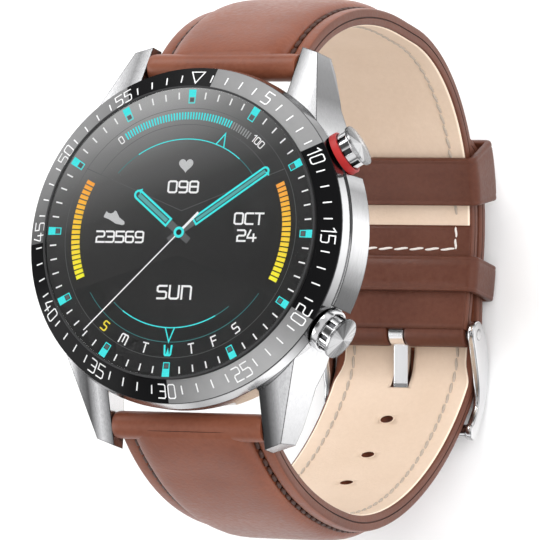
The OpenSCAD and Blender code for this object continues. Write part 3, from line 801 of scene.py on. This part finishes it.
# side gauges, orange at the top and yellow at the bottom
for k in range(20):
    t = k / 19
    bars = Parts()
    for r, deg in ((15.4, 154.6 + 49.0 * t), (15.65, 24.9 - 48.0 * t)):
        bar(bars, at_polar(r, deg, True), -0.26, 0.26, -0.62, 0.62)
    tone = glow(f"display_gauge_{k}", lin(250, 168 + 76 * t, 62 - 14 * t))
    piece = thicken(bars.make(f"gauge_bars_{k + 1}", tone, False), 0.02)
    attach(piece, "case")


def hand(deg, r0, r1, width, line):
    """An outlined hand with a round outer end."""
    half = width / 2
    outline = [(half, r0), (half, r1 - half)]
    for i in range(7):
        x, y = polar(half, 180 * i / 6)
        outline.append((x, r1 - half + y))
    outline += [(-half, r0), (half, r0)]
    inner = half - line
    core = ((inner, r0 + line), (inner, r1 - half), (-inner, r1 - half), (-inner, r0 + line))
    arm = ((half * 0.8, -1.9), (half * 0.95, r0), (-half * 0.95, r0), (-half * 0.8, -1.9))
    c, s = polar(1.0, deg - 90)

    def at(z):
        return lambda x, y: (x * c - y * s, x * s + y * c, z)
    draw(cyan, outline, line, at(HAND_Z))
    lit.add([at(HAND_Z - 0.02)(x, y) for x, y in core], [(0, 1, 2, 3)])
    dim_grey.add([at(HAND_Z - 0.035)(x, y) for x, y in arm], [(0, 1, 2, 3)])


hand(142.0, 2.2, 8.8, 1.15, 0.3)
hand(35.5, 2.6, 15.0, 0.98, 0.28)
for reach, width in ((18.5, 0.16), (-3.6, 0.34)):
    ends = [(0, 0), polar(reach, 226.6)]
    draw(white, ends if reach > 0 else ends[::-1], width, flat(0, 0, HAND_Z + 0.03))
arc_band(cyan, 0.58, 0.36, 0, 360, HAND_Z + 0.06, 36)
fan(dark, (0, 0), 0, 360, 0.42, HAND_Z + 0.045, 24)

for parts, name, material in (
    (white, "display_white_marks", WHITE_GLOW), (cyan, "display_cyan_marks", CYAN_GLOW),
    (dim_cyan, "display_dim_arcs", DIM_CYAN), (grey, "display_grey_bars", GREY_GLOW),
    (dim_grey, "display_faint_lines", DIM_GREY), (dark, "display_lower_sector", DARK_GLOW),
    (dark_band, "display_day_band", DARK_BAND), (icons, "display_icons", ICON_GLOW),
    (day_gold, "display_day_mark", GOLD_GLOW), (lit, "display_hand_fill", HAND_FILL),
):
    obj = thicken(parts.make(name, material, False), 0.008)
    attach(obj, "case")

# crystal, a little clear of the display below it
low = DIAL_Z + 0.32
EDGE_R = 0.3
profile = [(0.0, low), (CRYSTAL_R - 0.06, low), (CRYSTAL_R, low + 0.06), (CRYSTAL_R, CRYSTAL_TOP - EDGE_R)]
for i in range(1, 7):
    x, z = polar(EDGE_R, 15 * i)
    profile.append((CRYSTAL_R - EDGE_R + x, CRYSTAL_TOP - EDGE_R + z))
profile.append((0.0, CRYSTAL_TOP))
crystal = new_object("crystal_glass", *lathe(profile, 160), CRYSTAL)
weld(crystal)
sharp_by_angle(crystal, 35)
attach(crystal, "case")
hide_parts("crystal")

# thin black seal between the crystal and the ring round it
border = [(19.70, -0.3), (19.70, 0.01), (19.74, 0.03), (19.98, 0.03), (19.98, -0.3)]
profile = [(r, CRYSTAL_TOP + z) for r, z in border]
seal = new_object("crystal_border", *lathe(profile, 192, True), RUBBER)
sharp_by_angle(seal, 40)
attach(seal, "case")

# ---- pushers: (radius, height) profiles about each pusher's axis, from the middle of the case ----

PUSHER_Z = 6.2
BARREL = [(2.12, 25.8), (2.12, 24.38), (2.2, 24.32), (2.52, 24.32), (2.6, 24.4), (2.6, 25.85), (2.12, 25.85)]
BARREL_SLOT = ((2.32, -0.36), (3.0, -0.36), (3.0, 0.36), (2.32, 0.36))
COLLAR = [(2.67, 24.36), (2.67, 23.4), (3.02, 23.4), (3.02, 24.3), (2.98, 24.37), (2.9, 24.4), (2.72, 24.4)]
CAP = [
    (0.0, 25.8), (2.8, 25.8), (2.87, 25.83), (2.9, 25.9), (2.9, 26.2), (2.88, 26.28), (2.82, 26.34),
    (2.72, 26.37), (2.66, 26.35), (2.6, 26.38), (1.4, 26.49), (0.5, 26.57), (0.0, 26.59),
]


def sunray_material():
    """Turned steel with a sunray finish about the pusher's own axis, and painted glints: bright wedges across
    the face in one fixed direction.
    """
    m = surface("sunray_steel_painted_glints", (0.6, 0.6, 0.61, 1), 0.2, 1.0)
    flattened = m.vector("MULTIPLY", m.place(), (1, 1, 0))["Vector"]
    round_way = m.vector("NORMALIZE", flattened)["Vector"]

    def rays(scale, detail):
        return m.add("TexNoise", {"Vector": round_way, "Scale": scale, "Detail": detail})["Fac"]
    way = m.split(round_way)
    # painted glint: bright wedges in one fixed direction across the face
    painted_glint = m.math("ABSOLUTE", m.sum(way["X"], 0.8, way["Y"], 0.6))
    stops = [(0.25, 0.05), (0.42, 0.13), (0.55, 0.09), (0.68, 0.28), (0.82, 0.5)]
    m.wire("Base Color", m.ramp(m.sum(painted_glint, 0.55, rays(4.5, 1.0), 0.6), greys(stops)))
    fine = rays(60, 2.0)
    m.wire("Roughness", m.range(fine, 0.3, 0.7, 0.14, 0.3))
    m.bump(fine, 0.00002, 0.4, 0.00008)
    return m.owner


def pusher_barrel(name):
    """Barrel with slots between its ribs."""
    obj = new_object(name, *lathe(BARREL, close=True), POLISHED)
    weld(obj)
    slots = Parts()
    for k in range(8):
        c, s = polar(1.0, 45 * k + 22.5)
        slots.add(*loft([[(x * c - y * s, x * s + y * c, z) for x, y in BARREL_SLOT] for z in (24.0, 25.62)]))
    # the slot walls take the cutter's dark steel as painted shade
    cut(obj, slots.make("slot_cutter", SLOT_SHADE_STEEL, False))
    return obj


def pusher_coil(name, coils=3, steps=28, r=1.86, wire=0.14, foot=23.64, height=2.0):
    """Return spring, a helix of round wire."""
    rows = []
    for i in range(coils * steps + 1):
        a = 2 * math.pi * i / steps
        z = foot + height * i / (coils * steps)
        ring = [(r + wire * math.cos(b), z + wire * math.sin(b)) for b in angles(10)]
        rows.append([(x * math.cos(a), x * math.sin(a), y) for x, y in ring])
    return new_object(name, *loft(rows), WIRE)


SUNRAY_AND_GLINTS = sunray_material()
for side, deg in (("upper", 30), ("lower", -30)):
    way = polar(1.0, deg) + (0,)
    across = polar(1.0, deg + 90) + (0,)
    place = turned_to((0, 0, -1), across, way, (0, 0, PUSHER_Z * MM))
    body = f"{side}_pusher"
    barrel = pusher_barrel(f"{side}_pusher_barrel")
    sharp_by_angle(barrel, 30)
    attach(barrel, body)
    # seated on the case and pressed short by the cap
    coil = pusher_coil(f"{side}_pusher_coil")
    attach(coil, "case")
    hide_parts(f"{side}_pusher_spring")
    # the collar that the barrel slides into
    collar_name, collar_look = ("red_collar", RED) if side == "upper" else ("steel_collar", POLISHED)
    collar = new_object(f"{side}_pusher_{collar_name}", *lathe(COLLAR, close=True), collar_look)
    sharp_by_angle(collar, 30)
    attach(collar, "case")
    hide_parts("upper_pusher_red_collar" if side == "upper" else "lower_pusher_collar")
    # a rounded rim, a fine turned groove and a low cone
    cap = new_object(f"{side}_pusher_button", *lathe(CAP, 128), SUNRAY_AND_GLINTS)
    weld(cap)
    sharp_by_angle(cap, 28)
    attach(cap, body)
    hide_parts(f"{side}_pusher_cap")
    for obj in (barrel, coil, collar, cap):
        obj.matrix_world = place
    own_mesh(coil)
    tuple(way)


# ---- strap paths: the face that meets the wrist, as (y, z) points ----


def bezier(p, n):
    out = []
    for i in range(n + 1):
        t = i / n
        u = 1 - t
        w = (u * u * u, 3 * t * u * u, 3 * t * t * u, t * t * t)
        out.append((sum(k * q[0] for k, q in zip(w, p)), sum(k * q[1] for k, q in zip(w, p))))
    return out


def arc(c, r, a0, a1, n):
    points = []
    for i in range(n + 1):
        x, y = polar(r, a0 + (a1 - a0) * i / n)
        points.append((c[0] + x, c[1] + y))
    return points


class Path:
    """A line in the (y, z) plane, measured by length, with the way out of the loop."""

    def __init__(self, points, side):
        self.p = []
        for q in points:
            if not self.p or (Vector(q) - Vector(self.p[-1])).length > 1e-3:
                self.p.append(q)
        self.side = side
        self.s = [0.0]
        for a, b in zip(self.p, self.p[1:]):
            self.s.append(self.s[-1] + math.dist(a, b))
        self.length = self.s[-1]

    def point(self, s):
        s = min(s, self.length)
        k = 0
        while k < len(self.s) - 2 and self.s[k + 1] < s:
            k += 1
        t = (s - self.s[k]) / (self.s[k + 1] - self.s[k])
        a, b = self.p[k], self.p[k + 1]
        return Vector((a[0] + t * (b[0] - a[0]), a[1] + t * (b[1] - a[1])))

    def out(self, s):
        d = self.point(s + 0.8) - self.point(s - 0.8)
        d.normalize()
        return self.side * Vector((-d.y, d.x))

    def at(self, s, x, height):
        """The 3-D place at a length, across and above the wrist face."""
        q = self.point(s) + self.out(s) * height
        return (x, q.x, q.y)

    def near(self, s, x, along, height):
        """A place on the flat that touches the line at a length."""
        q, o = self.point(s), self.out(s)
        return (x, q.x - o.y * along + o.x * height, q.y + o.x * along + o.y * height)

    def reach(self, test, step=0.25):
        """The first length where test(y, z) holds."""
        s = 0.0
        while s < self.length:
            q = self.point(s)
            if test(q.x, q.y):
                return s
            s += step
        return self.length


upper_side = [(23.6, -0.1), (32, -5.2), (37.2, -18), (37.2, -31)]
lower_side = [(-23.6, -0.1), (-28.4, -6.5), (-31.4, -15), (-31.4, -27)]
lower_corner = [(-31.4, -27.5), (-31.4, -44), (-19, -61), (-5.6, -67.3)]
join = arc(CLASP_C, TAIL_IN_R, -85, -85, 1)[0]
tail_under = [lower_corner[3], (-2.2, -68.9), (6.8, CLASP_C[1] - TAIL_IN_R - 0.2), join]
upper_path = Path(bezier(upper_side, 40) + arc(CLASP_C, CLASP_R, 0, -90, 60)
                  + [(BUCKLE_Y + 0.4, CLASP_C[1] - CLASP_R)], 1)
lower_path = Path(bezier(lower_side, 36) + bezier(lower_corner, 48) + bezier(tail_under, 24)
                  + arc(CLASP_C, TAIL_IN_R, -85, -47, 30), -1)


def smooth_step(a, b, v):
    t = min(max((v - a) / (b - a), 0.0), 1.0)
    return t * t * (3 - 2 * t)


GROOVE = 0.81
PAD_EDGE = 0.78


def outer_height(u, pad, inset=0.0):
    """Height of the outer leather across the strap: u runs from 0 in the middle to 1 at the edge."""
    h = STRAP_T
    border = math.exp(-((u - 0.90) / 0.05) ** 2) * 0.07
    groove = math.exp(-((u - GROOVE) / 0.026) ** 2) * 0.30
    h += border - groove
    edge = PAD_EDGE - inset
    if u < edge:
        h += pad * PAD_RISE * (1 - (u / edge) ** 7) ** 0.5
    if u > 0.955:
        t = (u - 0.955) / 0.045
        h -= 0.42 * (1 - math.sqrt(max(1 - t * t, 0)))
    return h


ACROSS = [
    -1, -0.995, -0.985, -0.97, -0.955, -0.92, -0.89, -0.86, -0.845, -0.83, -0.82, -0.81, -0.80, -0.788,
    -0.781, -0.777, -0.768, -0.75, -0.73, -0.70, -0.65, -0.58, -0.5, -0.4, -0.3, -0.2, -0.1, 0,
]
ACROSS += [-u for u in reversed(ACROSS[:-1])]
# (place, height) down the side of the strap and on to the wrist face
EDGE = [
    (1.0, 1.16), (0.988, 1.08), (0.988, 1.02), (1.0, 0.94), (0.998, 0.3), (0.988, 0.1), (0.95, 0.0),
    (0.5, 0.0),
]
EDGE += [(-u, h) for u, h in reversed(EDGE)]


def steps_along(s0, s1, step, least):
    n = max(int((s1 - s0) / step), least)
    return [s0 + (s1 - s0) * i / n for i in range(n + 1)]


def strap_solid(name, path, pad_at, s0, s1, half_at):
    """The whole strap as one leather body: outer face, painted edges and the wrist face."""
    rows = []
    for s in steps_along(s0, s1, 0.55, 4):
        half = half_at(s)
        inset = 0.08 * max(1 - (s - s0) / 1.6, 0.0) ** 2
        row = [path.at(s, u * half, outer_height(abs(u), pad_at(s), inset)) for u in ACROSS]
        row += [path.at(s, u * half, max(h, -0.67 * s)) for u, h in EDGE]
        rows.append(row)
    obj = new_object(name, *loft(rows), BROWN)
    obj.data.materials.append(BROWN_EDGE)
    obj.data.materials.append(BROWN_GROOVE_SHADE)
    plain_face, painted, shadowed = 0, 1, 2
    ring, top = len(rows[0]), len(ACROSS)
    for k in range(ring):
        in_groove = k < top - 1 and abs(abs(ACROSS[k] + ACROSS[k + 1]) / 2 - GROOVE) < 0.017
        kind = plain_face
        if in_groove or top <= k < top + 3 or ring - 4 <= k < ring - 1:
            kind = shadowed
        elif top - 3 <= k < top + 6 or k >= ring - 7 or k < 2:
            kind = painted
        for i in range(len(rows) - 1):
            crease = i == 0 and k < top - 1 and abs(ACROSS[k]) < PAD_EDGE
            obj.data.polygons[i * ring + k].material_index = shadowed if crease else kind
    return obj


def slab(name, path, s0, s1, half_at, low, high, material, edge_material=None):
    """A thin sheet lying on a strap's face."""
    us = [-1, -0.992, -0.975, -0.6, -0.2, 0.2, 0.6, 0.975, 0.992, 1]
    rounded = [0.06, 0.02] + [0] * 6 + [0.02, 0.06]
    rows = []
    for s in steps_along(s0, s1, 0.8, 3):
        half = half_at(s)
        top = [path.at(s, u * half, low + drop) for u, drop in zip(us, rounded)]
        rows.append(top + [path.at(s, u * half, high) for u in reversed(us)])
    obj = new_object(name, *loft(rows), material)
    if edge_material:
        obj.data.materials.append(edge_material)
        ring, last = 2 * len(us), len(us) - 1
        for i in range(len(rows) - 1):
            for k in (0, 1, last - 2, last - 1, last, ring - 1):
                obj.data.polygons[i * ring + k].material_index = 1
    return obj


# (place, width) along a stitch
BEAD = ((-1.0, 0.05), (-0.9, 0.6), (-0.7, 0.9), (-0.45, 1.0), (-0.15, 1.0), (0.15, 1.0), (0.45, 1.0),
        (0.7, 0.9), (0.9, 0.6), (1.0, 0.05))


def bead(parts, centre, along, up_way, length, width, height):
    """One stitch: a slim bead of twisted thread, a little across its row."""
    across = along.cross(up_way).normalized()
    along = (along + across * 0.12).normalized()
    rows = []
    for t, w in BEAD:
        row = []
        for a in angles(10):
            lobe = w * (1 + 0.16 * math.cos(2 * a + 5.0 * t))
            p = centre + along * (t * length / 2) + across * (math.cos(a) * lobe * width / 2)
            row.append(p + up_way * (math.sin(a) * lobe * height / 2))
        rows.append(row)
    parts.add(*loft(rows, ends=False))


def side_seams(path, half_at, height, s0, s1, pitch, width):
    """A row of stitches along each side of the strap."""
    threads = Parts()
    for side in (-1, 1):
        for i in range(int((s1 - s0) / pitch)):
            s = s0 + (i + 0.5) * pitch
            a, b = (Vector(path.at(t, side * half_at(t), height)) for t in (s - 0.4, s + 0.4))
            up_way = Vector((0, *path.out(s)))
            bead(threads, (a + b) / 2, (b - a).normalized(), up_way, pitch * 0.96, width, width * 0.8)
    return threads


def cross_seam(threads, path, s, half, height, pitch, width):
    """A row of stitches across the strap."""
    count = int(2 * half / pitch)
    step = 2 * half / count
    up_way = Vector((0, *path.out(s)))
    for i in range(count):
        centre = Vector(path.at(s, (i + 0.5) * step - half, height))
        bead(threads, centre, Vector((1, 0, 0)), up_way, step * 0.97, width, width * 0.85)


def upper_half(s):
    return strap_half(upper_path.point(s).y)


TIP = 8.0
TIP_START = lower_path.length - TIP


def tail_half(s):
    """Half the tail's width, drawn in to its rounded tip."""
    half = strap_half(max(lower_path.point(s).y, BUCKLE_Z))
    if s > TIP_START:
        half *= max(1 - ((s - TIP_START) / TIP) ** 2.4, 0.0) ** 0.55 * 0.94 + 0.06
    return half


UPPER_START = -0.4
LOWER_START = -2.4


def lug_rise(s, start):
    """The padding starts high on the roll at the lugs, then settles."""
    return smooth_step(start, start + 0.7, s) * (1 + 0.4 * (1 - smooth_step(0.0, 8.0, s)))


def upper_pad(s):
    z = upper_path.point(s).y
    return lug_rise(s, UPPER_START) * smooth_step(-46, -26, z)


def lower_pad(s):
    z = lower_path.point(s).y
    return lug_rise(s, LOWER_START) * smooth_step(-56, -34, z) * (1 if s < 60 else 0)


def across_upper(obj):
    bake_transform(obj)


def across_lower(obj):
    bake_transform(obj)


# ---- upper strap, from the lugs to the buckle bar ----

strap_a = strap_solid("strap_buckle_side", upper_path, upper_pad, UPPER_START, upper_path.length, upper_half)
across_upper(strap_a)
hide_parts("upper_strap_leather", "upper_strap_padding", "clasp_strap_leather")

s_turned = upper_path.reach(lambda y, z: z < -45 and y < 16.4)
lining_a = slab("lining_buckle_side", upper_path, 1.2, s_turned + 0.8, lambda s: upper_half(s) - 0.42,
                -0.07, 0.3, CREAM, CREAM_EDGE)
across_upper(lining_a)
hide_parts("upper_strap_lining", "clasp_strap_lining")

turned = slab("turned_end", upper_path, s_turned, upper_path.length, lambda s: upper_half(s) - 0.3,
              -0.16, 0.4, BROWN_SHADED)
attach(turned, "clasp")

# (place, width) along a roll, and the radius of its hollow
ROLL = ((0.0, 0.90), (0.012, 0.96), (0.03, 0.99), (0.06, 1.0), (0.2, 1.0), (0.4, 1.0), (0.6, 1.0), (0.8, 1.0),
        (0.94, 1.0), (0.97, 0.99), (0.988, 0.96), (1.0, 0.90))
ROLL_HOLLOW = 0.86


def roll(name, y, z, r, x0, x1, material):
    """Leather rolled round a bar: a softly bulged tube with a turned edge at each end."""
    shape = [(t, r * k) for t, k in ROLL] + [(1.0, ROLL_HOLLOW), (0.0, ROLL_HOLLOW)]
    rows = [disc(x0 + (x1 - x0) * t, (y, z), radius, 48) for t, radius in shape]
    obj = new_object(name, *loft(rows, around=True), material)
    sharp_by_angle(obj, 50)
    return obj


for name, y, body in (("upper_lug_roll", BAR_Y, "strap_upper"), ("lower_lug_roll", -BAR_Y, "strap_lower")):
    obj = roll(name, y, BAR_Z, 1.9, -STRAP_HALF, STRAP_HALF, BROWN)
    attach(obj, body)
for k, (x0, x1) in enumerate(((-10.8, -1.42), (1.42, 10.8))):
    obj = roll(f"buckle_roll_{k + 1}", BUCKLE_Y + 0.15, BUCKLE_Z + 0.1, 2.08, x0, x1, BROWN_SHADED)
    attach(obj, "clasp")
    if k == 0:
        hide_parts("strap_turned_end")

# outer stitches in the grooves, lining stitches 3 mm in, white stitches on the turned end
SEAM_Z, SEAM_PITCH, SEAM_WIDTH = STRAP_T - 0.02, 1.7, 0.66
LINING_Z, LINING_PITCH, LINING_WIDTH = -0.1, 2.0, 0.44
WHITE_Z, WHITE_HALF, WHITE_WIDTH = -0.09, 8.6, 0.40
threads = side_seams(upper_path, lambda s: GROOVE * upper_half(s), SEAM_Z, 2.0, 52.0, SEAM_PITCH, SEAM_WIDTH)
thread_a = threads.make("outer_stitches_buckle_side", THREAD_BROWN)
across_upper(thread_a)
threads = side_seams(upper_path, lambda s: upper_half(s) - 3.4 + 0.9 * s / s_turned, LINING_Z, 5.0, s_turned,
                     LINING_PITCH, LINING_WIDTH)
thread_b = threads.make("lining_stitches_buckle_side", THREAD_CREAM)
across_upper(thread_b)
s_cross = upper_path.reach(lambda y, z: z < -45 and y < 12.85)
threads = side_seams(upper_path, lambda s: WHITE_HALF, WHITE_Z, s_turned + 0.1, s_cross + 0.1, 1.75,
                     WHITE_WIDTH)
cross_seam(threads, upper_path, s_cross, WHITE_HALF, WHITE_Z, 2.45, WHITE_WIDTH)
thread_c = threads.make("turned_end_stitches", THREAD_WHITE)
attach(thread_c, "clasp")

# ---- lower strap and tail ----

strap_b = strap_solid("strap_tail_side", lower_path, lower_pad, LOWER_START, lower_path.length, tail_half)
s_buckle = lower_path.reach(lambda y, z: z < -60 and y > -4)


def tail_lining_half(s):
    """The lining steps back from the edge where the tail lies under the other strap."""
    return max(tail_half(s) - 0.42 - smooth_step(s_buckle - 3, s_buckle + 1, s), 0.3)


lining_b = slab("lining_tail_side", lower_path, 1.2, lower_path.length - 0.6, tail_lining_half, -0.07, 0.3,
                CREAM, CREAM_EDGE)

# seven holes, the fourth of which holds the tongue
s_tail = lower_path.reach(lambda y, z: z < -27.5)
HOLES = [s_tail + 24.5 + 8.4 * k for k in (0, 1, 2, 4, 5, 6)]
TONGUE_ROOM = ((-1, -64.9), (-6.5, -66.35), (-12.9, -67.05), (-12.9, -69.9), (-6.4, -68.9), (-1, -67.6))
ROOM_HALF = 1.4


def hole_cutter(s):
    """An oval punch through the strap."""
    return loft([[lower_path.near(s, 1.05 * math.cos(a), 0.85 * math.sin(a), h) for a in angles(28)]
                 for h in (-1.2, 4.5)])


def tongue_room():
    """The buckle hole in use leans along the tongue."""
    return loft([[(x, y, z) for y, z in TONGUE_ROOM] for x in (-ROOM_HALF, ROOM_HALF)])


for target in (strap_b, lining_b):
    for shape in [hole_cutter(s) for s in HOLES] + [tongue_room()]:
        cut(target, new_object("punch", *shape, BROWN, False))
sharp_by_angle(strap_b, 42)
sharp_by_angle(strap_a, 42)
across_lower(strap_b)
across_lower(lining_b)
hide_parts("lower_strap_leather", "lower_strap_padding", "tail_leather")
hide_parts("lower_strap_lining", "tail_lining")

rims = Parts()
for s in HOLES:
    rows = []
    for a in angles(32):
        bulge = [(1.0 + 0.11 * math.cos(b), -0.06 + 0.07 * math.sin(b)) for b in angles(8)]
        rows.append([lower_path.near(s, 1.08 * r * math.cos(a), 0.88 * r * math.sin(a), h) for r, h in bulge])
    rims.add(*loft(rows, around=True))
rim_obj = rims.make("tail_hole_rims", CREAM)
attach(rim_obj, "clasp")

threads = side_seams(lower_path, lambda s: GROOVE * tail_half(s), SEAM_Z, 1.0, TIP_START - 1.0, SEAM_PITCH,
                     SEAM_WIDTH)
thread_d = threads.make("outer_stitches_tail_side", THREAD_BROWN)
across_lower(thread_d)
threads = side_seams(lower_path, lambda s: tail_half(s) - 2.9, LINING_Z, 4.0, TIP_START - 1.0, LINING_PITCH,
                     LINING_WIDTH)
thread_e = threads.make("lining_stitches_tail_side", THREAD_CREAM)
across_lower(thread_e)

# ---- keepers ----

KEEPER_T = 1.1
KEEPER_GAP = 0.35
# (place, rise) across a keeper's face: a pressed line near each edge and a faint swell between
KEEPER_FACE = ((0.93, 0), (0.88, -0.05), (0.83, 0.02), (0.4, 0.05), (0, 0.05), (-0.4, 0.05), (-0.83, 0.02),
               (-0.88, -0.05), (-0.93, 0))


def keeper_section(width, soft=0.28):
    """A keeper's cut face, as (along, height) points."""
    wide, high = width / 2 - soft, KEEPER_T / 2 - soft
    section = []
    for x, y, a0 in ((wide, high, 0), (-wide, high, 90), (-wide, -high, 180), (wide, -high, 270)):
        for i in range(4):
            dx, dy = polar(soft, a0 + 30 * i)
            section.append((x + dx, y + dy))
        if a0 in (0, 180):
            flip = 1 if a0 == 0 else -1
            section += [(flip * v * wide, flip * (KEEPER_T / 2 + rise)) for v, rise in KEEPER_FACE]
    return section


def keeper(name, half, low_h, high_h, width, place, corner=1.3):
    """A leather band round both straps. place takes (x, height, along) to the object."""
    x, low, high = half - corner, low_h + corner, high_h - corner
    middle = corner - KEEPER_T / 2
    loop = []
    for cx, cy, a0 in ((x, high, 0), (-x, high, 90), (-x, low, 180), (x, low, 270)):
        loop += [(cx, cy) + polar(1.0, a0 + 90 * i / 8) for i in range(9)]
    rows = []
    for a, b in zip(loop, loop[1:] + loop[:1]):
        cuts = 8 if math.dist(a[:2], b[:2]) > 1.5 else 1
        for k in range(cuts):
            cx, cy, nx, ny = (p + (q - p) * k / cuts for p, q in zip(a, b))
            section = [(w, middle + h) for w, h in keeper_section(width)]
            rows.append([place(cx + nx * r, cy + ny * r, w) for w, r in section])
    return new_object(name, *loft(rows, around=True), BROWN_SHADED)


fixed_low, fixed_high = [Vector(c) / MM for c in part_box("fixed_keeper")]
fixed_mid = (fixed_low.y + fixed_high.y) / 2
fixed = keeper("fixed_keeper_band", fixed_high.x, fixed_low.z, fixed_high.z, fixed_high.y - fixed_low.y,
               lambda x, h, w: (x, fixed_mid + w, h))
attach(fixed, "clasp")
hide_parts("fixed_keeper")

FREE_ANGLE = -63.6
FREE_SPAN = 15.8
free_in = CLASP_R - KEEPER_GAP - KEEPER_T
free_out = TAIL_IN_R + STRAP_T + KEEPER_GAP + KEEPER_T
free_width = math.radians(FREE_SPAN) * free_in


def on_clasp(x, h, w):
    py, pz = polar(h, FREE_ANGLE + FREE_SPAN * w / free_width)
    return (x, CLASP_C[0] + py, CLASP_C[1] + pz)


free = keeper("free_keeper_band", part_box("free_keeper")[1][0] / MM, free_in, free_out, free_width, on_clasp)
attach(free, "free_keeper")
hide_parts("free_keeper")

# ---- buckle frame, with softly rounded arms ----

FAR_BAR = (-13.4, -66.6)
ARM_IN, ARM_OUT = 11.35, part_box("buckle_frame")[1][0] / MM
arm_top = bezier([(-0.6, -63.6), (-4, -65.4), (-8, -69.2), (-12.4, -66.6)], 20)[1:17]
arm_under = bezier([(2.3, -66), (0, -70.8), (-9, -72.2), (-14.4, -67)], 20)[2:17]
far_end, near_end = arc(FAR_BAR, 1.3, 25, 212, 14), arc((BUCKLE_Y, BUCKLE_Z), 2.0, -55, 118, 16)
outline = arm_top + far_end + arm_under[::-1] + near_end
# (place, inset) through an arm
ARM_LAYERS = ((0.0, 0.32), (0.06, 0.14), (0.18, 0.03), (0.34, 0.0), (0.76, 0.0), (0.92, 0.03), (1.04, 0.14),
              (1.1, 0.32))


def inset(points, d):
    """A closed outline, counter-clockwise, drawn in by a distance."""
    out = []
    n = len(points)
    for i in range(n):
        a, b = Vector(points[i - 1]), Vector(points[(i + 1) % n])
        t = (b - a).normalized()
        out.append((points[i][0] - t.y * d, points[i][1] + t.x * d))
    return out


frame_parts = Parts()
for side in (-1, 1):
    frame_parts.add(*loft([
        [(side * (ARM_IN + x * (ARM_OUT - ARM_IN) / 1.1), y, z) for y, z in inset(outline, d)]
        for x, d in ARM_LAYERS
    ]))
frame_parts.add(*loft([disc(x, FAR_BAR, 1.0, 40) for x in (-ARM_IN - 0.3, ARM_IN + 0.3)]))
for side in (-1, 1):
    head = ((ARM_OUT - 0.05, 0.78), (ARM_OUT + 0.03, 0.78), (ARM_OUT + 0.08, 0.66))
    frame_parts.add(*loft([disc(side * x, (BUCKLE_Y, BUCKLE_Z), r, 28) for x, r in head]))
buckle = frame_parts.make("buckle_frame_polished", MIRROR)
sharp_by_angle(buckle, 40)
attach(buckle, "buckle_frame")
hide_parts("buckle_frame")

# ---- floor, light ----

floor_mesh = bpy.data.meshes.new("floor")
with edit(floor_mesh) as bm:
    bmesh.ops.create_grid(bm, x_segments=8, y_segments=8, size=3.0)
floor_mesh.materials.append(FLOOR)
floor = link(bpy.data.objects.new("floor", floor_mesh))
floor.location = (0, 0, cad_box[0][2] - 0.0004)


def softbox(name, direction, distance, size, power):
    data = bpy.data.lights.new(name, "AREA")
    data.shape = "RECTANGLE"
    data.size, data.size_y = size
    data.energy = power
    obj = link(bpy.data.objects.new(name, data))
    d = Vector(direction).normalized()
    obj.location = Vector((0, 0, -0.02)) + d * distance
    obj.rotation_mode = "QUATERNION"
    obj.rotation_quaternion = (-d).to_track_quat("-Z", "Y")
    return obj


softbox("top_box", (-0.35, 0.8, 0.7), 0.9, (0.8, 0.5), 4.4)
softbox("left_box", (-0.95, -0.35, 0.6), 0.9, (0.5, 0.8), 3.6).visible_diffuse = False
softbox("fill_box", (0.15, 0.0, 0.95), 1.2, (1.0, 1.0), 5.9).visible_glossy = False
softbox("right_box", (0.95, 0.1, 0.75), 1.2, (1.0, 1.0), 7.0).visible_glossy = False

# a sky in grey bands, with a dark flag where the flat crystal would mirror it to the camera
SKY = ((0.06, 0.2), (0.16, 0.22), (0.3, 1.1), (0.6, 1.15), (0.8, 0.75))
FLAG_WAY = Vector((-0.417, 0.172, 0.893)).normalized()
world = bpy.data.worlds.new("studio")
bpy.context.scene.world = world
sky = Tree(world, "Background")
way = sky.coord["Generated"]
stops = [(0.0, (0.55, 0.55, 0.56, 1))] + greys(SKY) + [(1.0, (0.9, 0.9, 0.9, 1))]
bands = sky.ramp(sky.split(way)["Z"], stops)
facing = sky.vector("DOT_PRODUCT", way, FLAG_WAY)["Value"]
flag = {"Value": facing, 1: 0.93, 2: 0.985, 3: 1.0, 4: 0.12}
shade = sky.add("MapRange", flag, interpolation_type="SMOOTHSTEP")["Result"]
sky.wire("Color", sky.add("VectorMath", {0: bands, "Scale": shade}, operation="SCALE")["Vector"])
sky.set(Strength=0.95)
bpy.context.scene.view_settings.view_transform = "Standard"
